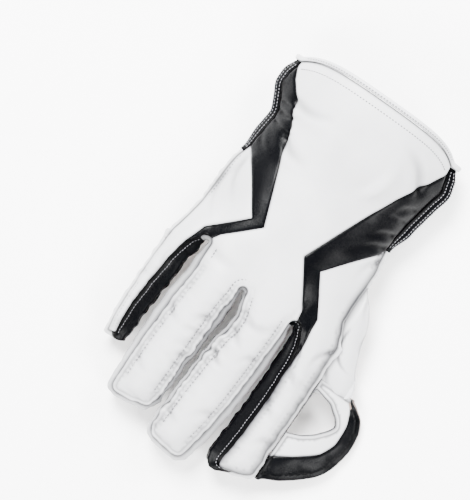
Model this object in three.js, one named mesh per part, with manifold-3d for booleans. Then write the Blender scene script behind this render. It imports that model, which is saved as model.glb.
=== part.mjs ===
// A right-hand wicketkeeping glove, lying palm down with its back up.
// The glove is worked out in a plan frame: Y runs from the cuff's mouth to the
// fingertips, X from the thumb to the little finger, Z up from the surface it lies on.
// All sizes are millimetres. At the end the glove is moved so that the origin is the
// middle of its footprint.
import * as THREE from "three";
import { mergeVertices } from "three/addons/utils/BufferGeometryUtils.js";
import Module from "manifold-3d";

const wasm = await Module();
wasm.setup();

// Lengths along the hand
const cuffLength = 79; // rim to wrist
const handLength = 78; // wrist to the knuckle line
const fingerLength = { index: 114, middle: 127, ring: 114, little: 83 };
const rimSweep = 8; // how far the rim's corners stand back from its middle
const rimFade = 40; // length over which the rim's curve dies away
const knuckleFade = 15; // the fingers' own edges begin this far below the knuckle line

// Widths across the hand
const knuckleWidth = 141;
const wristWidth = 128;
const mouthWidth = 129;
const thumbWidth = 35;
const tipRound = 0.42; // length of a fingertip's rounding, as a share of its width
const tipSquare = 3; // 2 rounds a fingertip like a circle, more makes it blunter
const tipLean = { index: 4, middle: -2, ring: 3, little: 1 }; // one corner reaches further
const leanRun = 30; // length over which a fingertip's lean comes in

// Heights above the surface
const mouthHeight = 64;
const wristHeight = 55;
const knuckleHeight = 50;
const tipHeight = 21;
const seamHeight = 28; // the side seam
const palmDrop = 8.2; // from the side seam down to the palm panel's edge
const palmHollow = 12; // how high the middle of the palm arches
const fingerPuff = 8; // how far a finger's back rises over its edges
const thumbHeight = 25;
const thumbRoom = 6; // how far the index finger rises to lie over the thumb

// Walls and clearances
const leather = 2.6; // padded back leather
const gussetLeather = 1.6;
const rubber = 3;
const cuffWall = 2.6;
const seamGap = 0.3; // between sewn pieces
const tipOver = 3.2; // the side walls reach this far past the back panels' tips
const tipUnder = 1.4; // the palm facing's tips reach this far past the back panels'

// Seam welts, rim and web
const welt = { thumb: 6.5, little: 4.2 }; // how far the cuff's sewn edges stand out
const rimBand = { depth: 4, over: 0.7 };
const webLeather = 1.6;
const webRubber = 2;
const webHeight = 20; // where the web meets the index finger
const webDepth = 34; // distance over which the web falls away to its lip

const wristY = cuffLength;
const knuckleY = cuffLength + handLength;

// A smooth curve through a table's column, by Hermite spans with limited slopes.
function column(rows, key, name, s) {
  const last = rows.length - 1;
  if (s <= rows[0][key]) return rows[0][name];
  if (s >= rows[last][key]) return rows[last][name];
  let i = 0;
  while (s > rows[i + 1][key]) i++;
  const slope = (k) => {
    if (k <= 0 || k >= last) return 0;
    const before = (rows[k][name] - rows[k - 1][name]) / (rows[k][key] - rows[k - 1][key]);
    const after = (rows[k + 1][name] - rows[k][name]) / (rows[k + 1][key] - rows[k][key]);
    return before * after <= 0 ? 0 : (2 * before * after) / (before + after);
  };
  const span = rows[i + 1][key] - rows[i][key];
  const t = (s - rows[i][key]) / span;
  const a = rows[i][name];
  const b = rows[i + 1][name];
  return (
    a * (2 * t ** 3 - 3 * t ** 2 + 1) +
    b * (3 * t ** 2 - 2 * t ** 3) +
    span * (slope(i) * (t ** 3 - 2 * t ** 2 + t) + slope(i + 1) * (t ** 3 - t ** 2))
  );
}
const mix = (a, b, t) => a + (b - a) * t;
const clamp = (t, low, high) => Math.min(high, Math.max(low, t));
const ease = (t) => clamp(t, 0, 1) ** 2 * (3 - 2 * clamp(t, 0, 1));
const bump = (s, from, top, to) => (s < top ? ease((s - from) / (top - from)) : ease((to - s) / (to - top)));

// Stations along the glove: 0 the rim, 1 the wrist, 2 the knuckles, 3 a fingertip.
function station(y, finger) {
  if (y <= wristY) return y / cuffLength;
  if (y <= knuckleY) return 1 + (y - wristY) / handLength;
  return 2 + (y - knuckleY) / fingerLength[finger];
}
const placeOf = (along, finger) =>
  along <= 1
    ? along * cuffLength
    : along <= 2
      ? wristY + (along - 1) * handLength
      : knuckleY + (along - 2) * fingerLength[finger];

// Side seams: each side's distance from the middle line, as a share of the width there.
const sides = [
  { along: 0.0, width: mouthWidth, thumb: 0.457, little: 0.516 },
  { along: 0.19, width: mouthWidth, thumb: 0.476, little: 0.534 },
  { along: 0.291, width: mouthWidth, thumb: 0.488, little: 0.534 },
  { along: 0.481, width: mouthWidth, thumb: 0.473, little: 0.501 },
  { along: 0.646, width: wristWidth, thumb: 0.458, little: 0.467 },
  { along: 0.797, width: wristWidth, thumb: 0.442, little: 0.475 },
  { along: 0.987, width: wristWidth, thumb: 0.434, little: 0.488 },
  { along: 1.154, width: wristWidth, thumb: 0.441, little: 0.514 },
  { along: 1.333, width: knuckleWidth, thumb: 0.415, little: 0.474 },
  { along: 1.59, width: knuckleWidth, thumb: 0.414, little: 0.476 },
  { along: 1.769, width: knuckleWidth, thumb: 0.421, little: 0.489 },
  { along: 1.897, width: knuckleWidth, thumb: 0.446, little: 0.503 },
  { along: 2.0, width: knuckleWidth, thumb: 0.466, little: 0.514 },
].map((r) => ({ along: r.along, thumb: -r.thumb * r.width, little: r.little * r.width }));
const sideX = (side, y) => column(sides, "along", side, station(Math.min(y, knuckleY), "middle"));

// Each finger's outline: its widest edges, as shares of the knuckle width, and how far
// the back panel's edges stand inside them, as shares of the same width.
const fingers = ["index", "middle", "ring", "little"];
const outline = {
  index: [
    { t: -0.13, low: -0.462, high: -0.249, lowIn: 0.0, highIn: 0.0 },
    { t: 0.0, low: -0.48, high: -0.25, lowIn: 0.013, highIn: 0.0 },
    { t: 0.085, low: -0.484, high: -0.25, lowIn: 0.014, highIn: 0.034 },
    { t: 0.19, low: -0.487, high: -0.255, lowIn: 0.014, highIn: 0.06 },
    { t: 0.47, low: -0.494, high: -0.262, lowIn: 0.014, highIn: 0.072 },
    { t: 0.75, low: -0.497, high: -0.258, lowIn: 0.014, highIn: 0.074 },
    { t: 1.0, low: -0.506, high: -0.254, lowIn: 0.014, highIn: 0.062 },
  ],
  middle: [
    { t: -0.12, low: -0.206, high: 0.045, lowIn: 0.0, highIn: 0.0 },
    { t: 0.03, low: -0.208, high: 0.045, lowIn: 0.0, highIn: 0.0 },
    { t: 0.1, low: -0.224, high: 0.036, lowIn: 0.014, highIn: 0.006 },
    { t: 0.19, low: -0.236, high: 0.024, lowIn: 0.026, highIn: 0.013 },
    { t: 0.34, low: -0.237, high: 0.043, lowIn: 0.03, highIn: 0.013 },
    { t: 0.52, low: -0.234, high: 0.054, lowIn: 0.032, highIn: 0.012 },
    { t: 0.76, low: -0.216, high: 0.064, lowIn: 0.032, highIn: 0.012 },
    { t: 1.0, low: -0.178, high: 0.066, lowIn: 0.026, highIn: 0.012 },
  ],
  ring: [
    { t: -0.13, low: 0.09, high: 0.322, lowIn: 0.0, highIn: 0.0 },
    { t: -0.04, low: 0.09, high: 0.324, lowIn: 0.0, highIn: 0.004 },
    { t: 0.03, low: 0.086, high: 0.332, lowIn: 0.0, highIn: 0.016 },
    { t: 0.11, low: 0.07, high: 0.342, lowIn: 0.014, highIn: 0.03 },
    { t: 0.21, low: 0.064, high: 0.352, lowIn: 0.028, highIn: 0.034 },
    { t: 0.38, low: 0.074, high: 0.359, lowIn: 0.02, highIn: 0.034 },
    { t: 0.57, low: 0.081, high: 0.36, lowIn: 0.014, highIn: 0.03 },
    { t: 0.76, low: 0.083, high: 0.354, lowIn: 0.014, highIn: 0.024 },
    { t: 1.0, low: 0.09, high: 0.342, lowIn: 0.012, highIn: 0.018 },
  ],
  little: [
    { t: -0.18, low: 0.364, high: 0.503, lowIn: 0.0, highIn: 0.0 },
    { t: -0.09, low: 0.366, high: 0.508, lowIn: 0.014, highIn: 0.002 },
    { t: 0.0, low: 0.372, high: 0.526, lowIn: 0.046, highIn: 0.013 },
    { t: 0.27, low: 0.381, high: 0.53, lowIn: 0.07, highIn: 0.014 },
    { t: 0.55, low: 0.389, high: 0.527, lowIn: 0.078, highIn: 0.014 },
    { t: 0.8, low: 0.395, high: 0.52, lowIn: 0.07, highIn: 0.014 },
    { t: 1.0, low: 0.398, high: 0.506, lowIn: 0.05, highIn: 0.013 },
  ],
};
const palmInset = 0.012; // the palm panel's edges stand this share inside the widest line
const crotchAt = { index: 2.045, middle: 2.045, ring: 1.9 }; // where each slit ends on the back

// How much the width of a finger is left at y, for the rounding of its tip.
function tipShare(y, tipY, width) {
  const start = tipY - tipRound * width;
  if (y <= start) return 1;
  return Math.max(0, 1 - ((y - start) / (tipY - start)) ** tipSquare) ** (1 / tipSquare);
}

// A finger's edge at y: kind is wide, back or palm, and side is low or high.
function fingerEdge(finger, side, kind, y) {
  const t = (y - knuckleY) / fingerLength[finger];
  const at = (name) => column(outline[finger], "t", name, t) * knuckleWidth;
  const inward = { low: 1, high: -1 }[side];
  const inset = { wide: 0, back: at(side + "In"), palm: palmInset * knuckleWidth * ease(t * 8) }[kind];
  return at(side) + inward * inset;
}

// X of a finger's edge at any y. Over the hand, the edges follow the side seams.
function edgeX(finger, side, kind, y) {
  const start = knuckleY - knuckleFade;
  if (y > start) {
    const outer = (finger === "index" && side === "low") || (finger === "little" && side === "high");
    if (outer && y < knuckleY) return sideX(finger === "index" ? "thumb" : "little", y);
    return fingerEdge(finger, side, kind, y);
  }
  const x = fingerEdge(finger, side, kind, start);
  const low = sideX("thumb", start);
  const share = clamp((x - low) / (sideX("little", start) - low), 0, 1);
  return mix(sideX("thumb", y), sideX("little", y), share);
}

// Heights along the glove. arch is the back's middle. seam is the back's edge, as a share
// of seamHeight. puff and sink are a finger's crown and the slits beside it, as shares of
// fingerPuff. drop is how far the palm's edge lies below the seam, as a share of palmDrop,
// and pad is the palm's lowest line, as a share of palmHollow.
const heights = [
  { along: 0.0, arch: mouthHeight, seam: 1, puff: 0, sink: 0, drop: 1, pad: -0.42 },
  { along: 0.5, arch: 0.97 * mouthHeight, seam: 0.964, puff: 0, sink: 0, drop: 1, pad: -0.42 },
  { along: 1.0, arch: wristHeight, seam: 0.93, puff: 0, sink: 0, drop: 1, pad: -0.33 },
  { along: 1.35, arch: 0.98 * wristHeight, seam: 0.964, puff: 0, sink: 0, drop: 1, pad: 0.25 },
  { along: 1.65, arch: 0.973 * wristHeight, seam: 1.036, puff: 0.1, sink: 0, drop: 1.12, pad: 0.8 },
  { along: 2.0, arch: knuckleHeight, seam: 1.143, puff: 0.5, sink: 0.125, drop: 1.59, pad: 1 },
  { along: 2.25, arch: mix(knuckleHeight, tipHeight, 0.22), seam: 1.143, puff: 0.9, sink: 0.375, drop: 1.95, pad: 0.75 },
  { along: 2.5, arch: mix(knuckleHeight, tipHeight, 0.43), seam: 1.071, puff: 1, sink: 0.5, drop: 1.95, pad: 0.45 },
  { along: 2.75, arch: mix(knuckleHeight, tipHeight, 0.62), seam: 0.964, puff: 1, sink: 0.5, drop: 1.83, pad: -0.12 },
  { along: 2.9, arch: mix(knuckleHeight, tipHeight, 0.78), seam: 0.893, puff: 0.95, sink: 0.5, drop: 1.77, pad: -0.17 },
  { along: 3.0, arch: mix(knuckleHeight, tipHeight, 0.94), seam: 0.75, puff: 0.7, sink: 0.375, drop: 1.75, pad: 0.2 },
].map((r) => ({
  along: r.along,
  arch: r.arch,
  seam: r.seam * seamHeight,
  puff: r.puff * fingerPuff,
  sink: r.sink * fingerPuff,
  rest: r.seam * seamHeight - r.drop * palmDrop,
  pad: r.pad * palmHollow,
}));
const height = (name, along) => column(heights, "along", name, along);

// Where a point lies across the whole hand and across its own finger, from -1 to 1.
function across(x, y, finger, kind) {
  const middle = Math.min(y, knuckleY);
  const low = y > knuckleY ? fingerEdge("index", "low", "back", knuckleY) : sideX("thumb", middle);
  const high = sideX("little", middle);
  const f0 = edgeX(finger, "low", kind, y);
  const f1 = edgeX(finger, "high", kind, y);
  return {
    hand: clamp((2 * x - low - high) / (high - low), -1, 1),
    finger: clamp((2 * x - f0 - f1) / (f1 - f0), -1, 1),
  };
}

// The outer surface of the back, and of the palm side, over a point of the plan.
function backZ(x, y, finger) {
  const along = station(y, finger);
  const at = across(x, y, finger, "back");
  const seam = height("seam", along);
  const arch = seam + (height("arch", along) - seam) * (1 - Math.abs(at.hand) ** 2.4);
  return arch - height("sink", along) + height("puff", along) * (1 - Math.abs(at.finger) ** 2.2);
}
function palmZ(x, y, finger) {
  const along = station(y, finger);
  const at = across(x, y, finger, "palm");
  const rest = height("rest", along);
  const pad = height("pad", along);
  const hand = rest - (rest - pad) * (1 - Math.abs(at.hand) ** 2.6);
  const digit = rest - (rest - pad) * (1 - Math.abs(at.finger) ** 2.4);
  const lift = finger === "index" ? thumbRoom * bump(along, 1.75, 2.08, 2.5) : 0;
  return Math.max(0, mix(hand, digit, ease((along - 1.75) / 0.5)) + lift);
}

// A point moved through a wall of even thickness under a height function.
function wallBelow(surface, x, y, finger, thickness) {
  const step = 0.5;
  const dx = (surface(x + step, y, finger) - surface(x - step, y, finger)) / (2 * step);
  const dy = (surface(x, y + step, finger) - surface(x, y - step, finger)) / (2 * step);
  return thickness * Math.min(2, Math.hypot(1, dx, dy));
}

// A closed solid between two lattices of points, over the cells that keep allows.
// With ring set, the last row joins the first.
function latticeSolid(outer, inner, keep = () => true, ring = false) {
  const rows = outer.length;
  const cols = outer[0].length;
  const points = [...outer.flat(), ...inner.flat()];
  const half = rows * cols;
  const lastRow = ring ? rows : rows - 1;
  const faces = [];
  const quad = (a, b, c, d) => faces.push([a, b, c], [a, c, d]);
  const kept = (i, j) => (ring || (i >= 0 && i < lastRow)) && j >= 0 && j < cols - 1 && keep(i, j);
  for (let i = 0; i < lastRow; i++)
    for (let j = 0; j < cols - 1; j++) {
      if (!kept(i, j)) continue;
      const next = (i + 1) % rows;
      const [a, b, c, d] = [i * cols + j, i * cols + j + 1, next * cols + j + 1, next * cols + j];
      quad(a, b, c, d);
      quad(half + d, half + c, half + b, half + a);
      if (!kept(i - 1, j)) quad(half + a, half + b, b, a);
      if (!kept(i, j + 1)) quad(half + b, half + c, c, b);
      if (!kept(i + 1, j)) quad(half + c, half + d, d, c);
      if (!kept(i, j - 1)) quad(half + d, half + a, a, d);
    }
  const [p, q, r] = [new THREE.Vector3(), new THREE.Vector3(), new THREE.Vector3()];
  const volume = faces.reduce((sum, [a, b, c]) => {
    p.fromArray(points[a]);
    q.fromArray(points[b]);
    return sum + p.dot(q.cross(r.fromArray(points[c])));
  }, 0);
  const used = faces.flatMap((face) => (volume > 0 ? face : [...face].reverse()));
  const geometry = new THREE.BufferGeometry();
  geometry.setAttribute("position", new THREE.Float32BufferAttribute(used.flatMap((k) => points[k]), 3));
  return solid(geometry);
}

// A three.js geometry as a manifold solid, and back.
function solid(geometry) {
  geometry.deleteAttribute("normal");
  geometry.deleteAttribute("uv");
  const merged = mergeVertices(geometry, 1e-4);
  return new wasm.Manifold(
    new wasm.Mesh({
      numProp: 3,
      vertProperties: merged.attributes.position.array,
      triVerts: new Uint32Array(merged.index.array),
    }),
  );
}
function geometryOf(manifold) {
  const mesh = manifold.getMesh();
  const geometry = new THREE.BufferGeometry();
  geometry.setAttribute("position", new THREE.BufferAttribute(Float32Array.from(mesh.vertProperties), 3));
  geometry.setIndex(new THREE.BufferAttribute(Uint32Array.from(mesh.triVerts), 1));
  const flat = geometry.toNonIndexed();
  flat.computeVertexNormals();
  return flat;
}

// The largest body of a cut solid; the cut's loose slivers are left away.
const largest = (manifold) => manifold.decompose().sort((a, b) => b.volume() - a.volume())[0];

const glove = new THREE.Group();
const finish = {
  white: { color: 0xe9e9ea, roughness: 0.5, metalness: 0 },
  black: { color: 0x1b1c20, roughness: 0.38, metalness: 0 },
  rubber: { color: 0xc4aea4, roughness: 0.85, metalness: 0 },
};
function addPiece(name, manifold, look) {
  const mesh = new THREE.Mesh(geometryOf(manifold), new THREE.MeshStandardMaterial(finish[look]));
  mesh.name = name;
  glove.add(mesh);
  return mesh;
}

// A tall prism over a plan outline, to cut panels out of a wall.
const prismTop = mouthHeight + 60;
function prism(points) {
  const shape = new THREE.Shape(points.map(([x, y]) => new THREE.Vector2(x, y)));
  const geometry = new THREE.ExtrudeGeometry(shape, { depth: prismTop, bevelEnabled: false });
  geometry.translate(0, 0, -20);
  return solid(geometry);
}

// An outline moved inwards by half a seam gap. Outlines run anticlockwise.
function inset(points, distance = seamGap / 2) {
  const n = points.length;
  const signed = points.reduce((sum, [x, y], i) => {
    const [u, v] = points[(i + 1) % n];
    return sum + x * v - u * y;
  }, 0);
  const turn = signed > 0 ? 1 : -1;
  const normal = ([x, y], [u, v]) => {
    const d = Math.hypot(u - x, v - y);
    return [(-(v - y) / d) * turn, ((u - x) / d) * turn];
  };
  return points.map((p, i) => {
    const [ax, ay] = normal(points[(i + n - 1) % n], p);
    const [bx, by] = normal(p, points[(i + 1) % n]);
    const reach = distance / Math.max(0.35, 1 + ax * bx + ay * by);
    return [p[0] + (ax + bx) * reach, p[1] + (ay + by) * reach];
  });
}

// The lattice of the hand: rows along it, and five lines to a finger with slits between.
const linesPerFinger = 5;
const cuffRows = [0, 0.12, 0.26, 0.42, 0.58, 0.75, 0.9];
const handRows = [1.05, 1.22, 1.42, 1.62];
const knuckleRows = [crotchAt.ring, 1.97, crotchAt.middle];
const fingerRows = [0.1, 0.22, 0.36, 0.5, 0.64, 0.76, 0.86, 0.93, 0.975, 0.995];
const sharedRows = [...cuffRows, ...handRows, ...knuckleRows];
const crotchRow = { ring: sharedRows.length - 3, index: sharedRows.length - 1, middle: sharedRows.length - 1 };

// Y of a lattice row for one finger. kind palm and wide have longer or shorter tips.
const tipReach = { back: 0, wide: tipOver, palm: tipUnder };
function rowY(row, finger, kind) {
  if (row < sharedRows.length) return placeOf(sharedRows[row], "middle");
  const start = placeOf(crotchAt.middle, "middle");
  const end = knuckleY + fingerLength[finger] - tipReach.wide + tipReach[kind];
  return mix(start, end, fingerRows[row - sharedRows.length]);
}
const rowCount = sharedRows.length + fingerRows.length;
const rimY = (x, y) => {
  const reach = x / sideX(x < 0 ? "thumb" : "little", 0);
  return rimSweep * reach ** 6 * clamp(1 - y / rimFade, 0, 1);
};

// X of a lattice line, with the fingertip's rounding.
function lineX(finger, line, kind, y) {
  const low = edgeX(finger, "low", kind, y);
  const high = edgeX(finger, "high", kind, y);
  const tipY = knuckleY + fingerLength[finger] - tipReach.wide + tipReach[kind];
  const share = tipShare(y, tipY, high - low);
  return (low + high) / 2 + ((high - low) / 2) * share * ((2 * line) / (linesPerFinger - 1) - 1);
}

// One point of the lattice on the outer surface, with the thickness of the wall there.
const surfaceOf = { back: backZ, palm: palmZ, wide: (x, y, f) => (backZ(x, y, f) + palmZ(x, y, f)) / 2 };
function latticePoint(finger, line, row, kind) {
  const base = rowY(row, finger, kind);
  const x = lineX(finger, line, kind, base);
  const z = surfaceOf[kind](x, base, finger);
  const rim = rimBand.depth * clamp(1 - base / rimFade, 0, 1) + rimY(x, base);
  const middle = (edgeX(finger, "low", kind, base) + edgeX(finger, "high", kind, base)) / 2;
  const half = (edgeX(finger, "high", kind, base) - edgeX(finger, "low", kind, base)) / 2;
  const tipY = knuckleY + fingerLength[finger];
  const lean = tipLean[finger] * ((x - middle) / half) * ease((base - tipY + leanRun) / leanRun);
  return { x, y: base + rim + lean, z, base };
}
function handLattice(kind, thickness, grow = 0) {
  const surface = surfaceOf[kind === "palm" ? "palm" : "back"];
  const up = kind === "palm" ? 1 : -1;
  const rows = Array.from({ length: rowCount }, (_, row) =>
    fingers.flatMap((finger) =>
      Array.from({ length: linesPerFinger }, (_, line) => {
        const { x, y, base } = latticePoint(finger, line, row, kind);
        const z = surface(x, base, finger) - up * grow;
        return { outer: [x, y, z], inner: [x, y, z + up * wallBelow(surface, x, base, finger, thickness)] };
      }),
    ),
  );
  return { outer: rows.map((r) => r.map((p) => p.outer)), inner: rows.map((r) => r.map((p) => p.inner)) };
}

// Cells between two fingers are kept only up to the end of their slit.
function slitOpen(row, col) {
  const finger = Math.floor(col / linesPerFinger);
  return col % linesPerFinger !== linesPerFinger - 1 || row < crotchRow[fingers[finger]];
}

// Plan curves of the black stripes on the back. across runs from the thumb seam to the
// little seam, and along is a station.
const planPoint = ({ across: share, along }) => {
  const y = placeOf(along, "middle");
  return [mix(sideX("thumb", y), sideX("little", y), share), y];
};
const beyond = 0.09; // outlines run this share past the side seams
const centreEdge = {
  thumb: [
    { across: -beyond, along: 0.1 },
    { across: 0.02, along: 0.228 },
    { across: 0.089, along: 0.449 },
    { across: 0.154, along: 0.671 },
    { across: 0.218, along: 0.956 },
    { across: 0.376, along: 1.519 },
    { across: 0.238, along: 1.917 },
  ],
  little: [
    { across: 1 + beyond, along: 0.13 },
    { across: 0.985, along: 0.19 },
    { across: 0.954, along: 0.308 },
    { across: 0.909, along: 0.449 },
    { across: 0.909, along: 0.529 },
    { across: 0.878, along: 0.671 },
    { across: 0.855, along: 0.797 },
    { across: 0.642, along: 1.517 },
    { across: 0.8, along: 1.78 },
  ],
};
const outerEdge = {
  thumb: [
    { across: -beyond, along: 0.98 },
    { across: -0.006, along: 1.068 },
    { across: 0.253, along: 1.549 },
    { across: 0.143, along: 1.901 },
  ],
  little: [
    { across: 1 + beyond, along: 0.93 },
    { across: 0.996, along: 0.987 },
    { across: 0.726, along: 1.508 },
    { across: 0.893, along: 1.8 },
  ],
};
// Past the knuckles the stripe runs out along the slit: how wide it is beside the finger's
// edge, as a share of the knuckle width.
const stripeOnFinger = {
  index: [
    { t: 0.0, width: 0.064 },
    { t: 0.1, width: 0.036 },
    { t: 0.19, width: 0.012 },
    { t: 0.25, width: 0.004 },
  ],
  little: [
    { t: 0.0, width: 0.012 },
    { t: 0.12, width: 0.006 },
    { t: 0.2, width: 0.004 },
  ],
};
function stripeEdge(finger, offset) {
  const side = finger === "index" ? "high" : "low";
  const sign = finger === "index" ? -1 : 1;
  return stripeOnFinger[finger].map((row) => {
    const y = knuckleY + row.t * fingerLength[finger];
    return [fingerEdge(finger, side, "back", y) + sign * (offset ? row.width * knuckleWidth : -sliver), y];
  });
}
const sliver = 1.2; // outlines run this far past a panel's own edge

function backPanels() {
  const { outer, inner } = handLattice("back", leather);
  const shell = latticeSolid(outer, inner, slitOpen);
  const far = knuckleY + fingerLength.middle + 30;
  const slit = (finger, next) => {
    const y = placeOf(crotchAt[finger], "middle");
    return [(edgeX(finger, "high", "back", y) + edgeX(next, "low", "back", y)) / 2, y];
  };
  const thumbSlit = slit("index", "middle");
  const littleSlit = slit("ring", "little");
  const thumbIn = centreEdge.thumb.map(planPoint);
  const littleIn = centreEdge.little.map(planPoint);
  const thumbOut = outerEdge.thumb.map(planPoint);
  const littleOut = outerEdge.little.map(planPoint);
  const indexStrip = stripeEdge("index", true);
  const indexEdge = stripeEdge("index", false);
  const littleStrip = stripeEdge("little", true);
  const littleEdge = stripeEdge("little", false);
  const left = sideX("thumb", 0) * 1.4;
  const right = sideX("little", 0) * 1.4;
  const outlines = {
    back_centre: [
      ...[...thumbIn].reverse(),
      [left, -rimSweep],
      [right, -rimSweep],
      ...littleIn,
      littleSlit,
      [littleSlit[0], far],
      [thumbSlit[0], far],
      thumbSlit,
    ],
    stripe_thumb: [...thumbIn, thumbSlit, ...indexEdge.slice(1), ...[...indexStrip].reverse(), ...[...thumbOut].reverse()],
    stripe_little: [...littleIn, littleSlit, ...littleEdge, ...[...littleStrip].reverse(), ...[...littleOut].reverse()],
    back_index: [
      ...thumbOut,
      ...indexStrip,
      ...[...indexEdge].reverse().slice(0, 1),
      [thumbSlit[0], indexEdge.at(-1)[1]],
      [thumbSlit[0], far],
      [left, far],
    ],
    back_little: [
      ...littleOut,
      ...littleStrip,
      ...[...littleEdge].reverse().slice(0, 1),
      [littleSlit[0], littleEdge.at(-1)[1]],
      [littleSlit[0], far],
      [right, far],
    ],
  };
  for (const [name, points] of Object.entries(outlines))
    addPiece(name, shell.intersect(prism(inset(points))), name.startsWith("stripe") ? "black" : "white");
}
backPanels();

// The way round the glove's edge: up the thumb side, round each fingertip and each
// crotch, and down the little side. Every stop names a finger, a line and a row.
function wayRound() {
  const last = rowCount - 1;
  const stops = [];
  fingers.forEach((finger, k) => {
    const from = k === 0 ? 0 : crotchRow[fingers[k - 1]];
    const to = k === fingers.length - 1 ? 0 : crotchRow[finger];
    for (let row = from; row < last; row++) stops.push({ finger, line: 0, row, side: "low" });
    for (let line = 0; line < linesPerFinger; line++) stops.push({ finger, line, row: last, side: "tip" });
    for (let row = last - 1; row >= to; row--) stops.push({ finger, line: linesPerFinger - 1, row, side: "high" });
  });
  return stops;
}

// How far the sewn edge stands out beyond the back panel's edge in the cuff and the hand.
function weltReach({ side, row, finger }) {
  const least = seamGap + gussetLeather;
  if (row >= sharedRows.length || (finger !== "index" && finger !== "little")) return least;
  const out = side === "low" ? welt.thumb : welt.little;
  return mix(Math.max(out, least), least, ease((sharedRows[row] - 0.85) / 0.5));
}

// Plan normals on the left of a line of points, lengthened at the corners.
function leftNormals(points) {
  const unit = (a, b) => {
    const d = Math.hypot(b.x - a.x, b.y - a.y) || 1;
    return [-(b.y - a.y) / d, (b.x - a.x) / d];
  };
  return points.map((p, i) => {
    const before = unit(points[Math.max(i - 1, 0)], points[Math.max(i, 1)]);
    const after = unit(points[Math.min(i, points.length - 2)], points[Math.min(i + 1, points.length - 1)]);
    const reach = 1 / Math.max(0.5, 1 + before[0] * after[0] + before[1] * after[1]);
    return [(before[0] + after[0]) * reach, (before[1] + after[1]) * reach];
  });
}

// Side walls: three lines along the way round, at the back panel's edge, at the widest
// place and at the palm panel's edge. lines gives outer and inner points for each stop.
function sideWalls() {
  const stops = wayRound();
  const at = Object.fromEntries(
    ["back", "wide", "palm"].map((kind) => [kind, stops.map((s) => latticePoint(s.finger, s.line, s.row, kind))]),
  );
  const normal = Object.fromEntries(Object.entries(at).map(([kind, points]) => [kind, leftNormals(points)]));
  const lap = 0.4;
  const moved = (p, n, reach, z) => [p.x + n[0] * reach, p.y + n[1] * reach, z];
  return stops.map((stop, i) => {
    const b = at.back[i];
    const w = at.wide[i];
    const p = at.palm[i];
    const n = normal.back[i];
    const size = Math.hypot(...n);
    const reached = ((w.x - b.x) * n[0] + (w.y - b.y) * n[1]) / size;
    const cleared = ((w.x - p.x) * n[0] + (w.y - p.y) * n[1]) / size;
    const out = Math.max(0, weltReach(stop) - Math.min(reached, cleared)) / size;
    const middle = (b.z + p.z) / 2;
    const near = seamGap;
    const far = seamGap + gussetLeather;
    return {
      ...stop,
      outer: [
        moved(b, n, far, b.z - lap),
        moved(w, normal.wide[i], out, middle),
        moved(p, normal.palm[i], far, p.z + lap),
      ],
      inner: [
        moved(b, n, near, b.z - lap),
        moved(w, normal.wide[i], out - gussetLeather, middle),
        moved(p, normal.palm[i], near, p.z + lap),
      ],
    };
  });
}

// The thumb: an oval tube from the heel of the hand to its tip beside the web.
const thumbRoot = { x: -0.326 * knuckleWidth, y: wristY + 0.333 * handLength, z: 0.45 * wristHeight };
const thumbTip = { x: -0.572 * knuckleWidth, y: knuckleY + 0.275 * fingerLength.index, z: 0.42 * thumbHeight };
const thumbRows = [0, 0.14, 0.26, 0.38, 0.5, 0.62, 0.74, 0.84, 0.91, 0.96, 0.99];
const thumbShape = [
  { s: 0, wide: 0.5, tall: 0.9 },
  { s: 0.16, wide: 0.62, tall: 1.05 },
  { s: 0.29, wide: 0.86, tall: 1.12 },
  { s: 0.43, wide: 0.96, tall: 1.12 },
  { s: 0.6, wide: 0.86, tall: 1.05 },
  { s: 0.745, wide: 0.86, tall: 1.0 },
  { s: 0.89, wide: 0.97, tall: 0.92 },
  { s: 1, wide: 0.97, tall: 0.86 },
];
function thumbPoint(s, angle, depth) {
  const length = Math.hypot(thumbTip.x - thumbRoot.x, thumbTip.y - thumbRoot.y);
  const way = [(thumbTip.x - thumbRoot.x) / length, (thumbTip.y - thumbRoot.y) / length];
  const end = 1 - depth / length;
  const place = s * end;
  const share = Math.max(0.1, tipShare(place, end, (0.8 * thumbWidth) / length));
  const half = (thumbWidth / 2) * column(thumbShape, "s", "wide", place) - depth;
  const rise = (thumbHeight / 2) * column(thumbShape, "s", "tall", place) - depth;
  const level = mix(thumbRoot.z, thumbTip.z, ease(place * 1.15));
  const reach = half * share * Math.cos(angle);
  return [
    mix(thumbRoot.x, thumbTip.x, place) + way[1] * reach,
    mix(thumbRoot.y, thumbTip.y, place) - way[0] * reach,
    Math.max(depth, level + rise * share * Math.sin(angle)),
  ];
}
function thumbLattice(depth, from, to, count = 9) {
  return thumbRows.map((s) =>
    Array.from({ length: count }, (_, k) => thumbPoint(s, mix(from, to, k / (count - 1)), depth)),
  );
}
function thumbVolume(depth) {
  const slight = 0.02;
  return latticeSolid(
    thumbLattice(depth, slight, Math.PI - slight),
    thumbLattice(depth, -slight, slight - Math.PI),
  );
}

// The hand as one closed volume out to its side walls, grown a little, to trim what
// meets it from outside.
function handVolume(walls, grow) {
  const widest = new Map(walls.map((w) => [[w.finger, w.line, w.row].join(), w.outer[1]]));
  const sheet = (kind, lift) =>
    Array.from({ length: rowCount }, (_, row) =>
      fingers.flatMap((finger) =>
        Array.from({ length: linesPerFinger }, (_, line) => {
          const { x, y, base } = latticePoint(finger, line, row, "wide");
          const [edge] = widest.get([finger, line, row].join()) ?? [x];
          const side = { 0: -grow, [linesPerFinger - 1]: grow }[line] ?? 0;
          return [edge + side, y, surfaceOf[kind](x, base, finger) + lift];
        }),
      ),
    );
  return latticeSolid(sheet("back", grow), sheet("palm", -grow), slitOpen);
}

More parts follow.
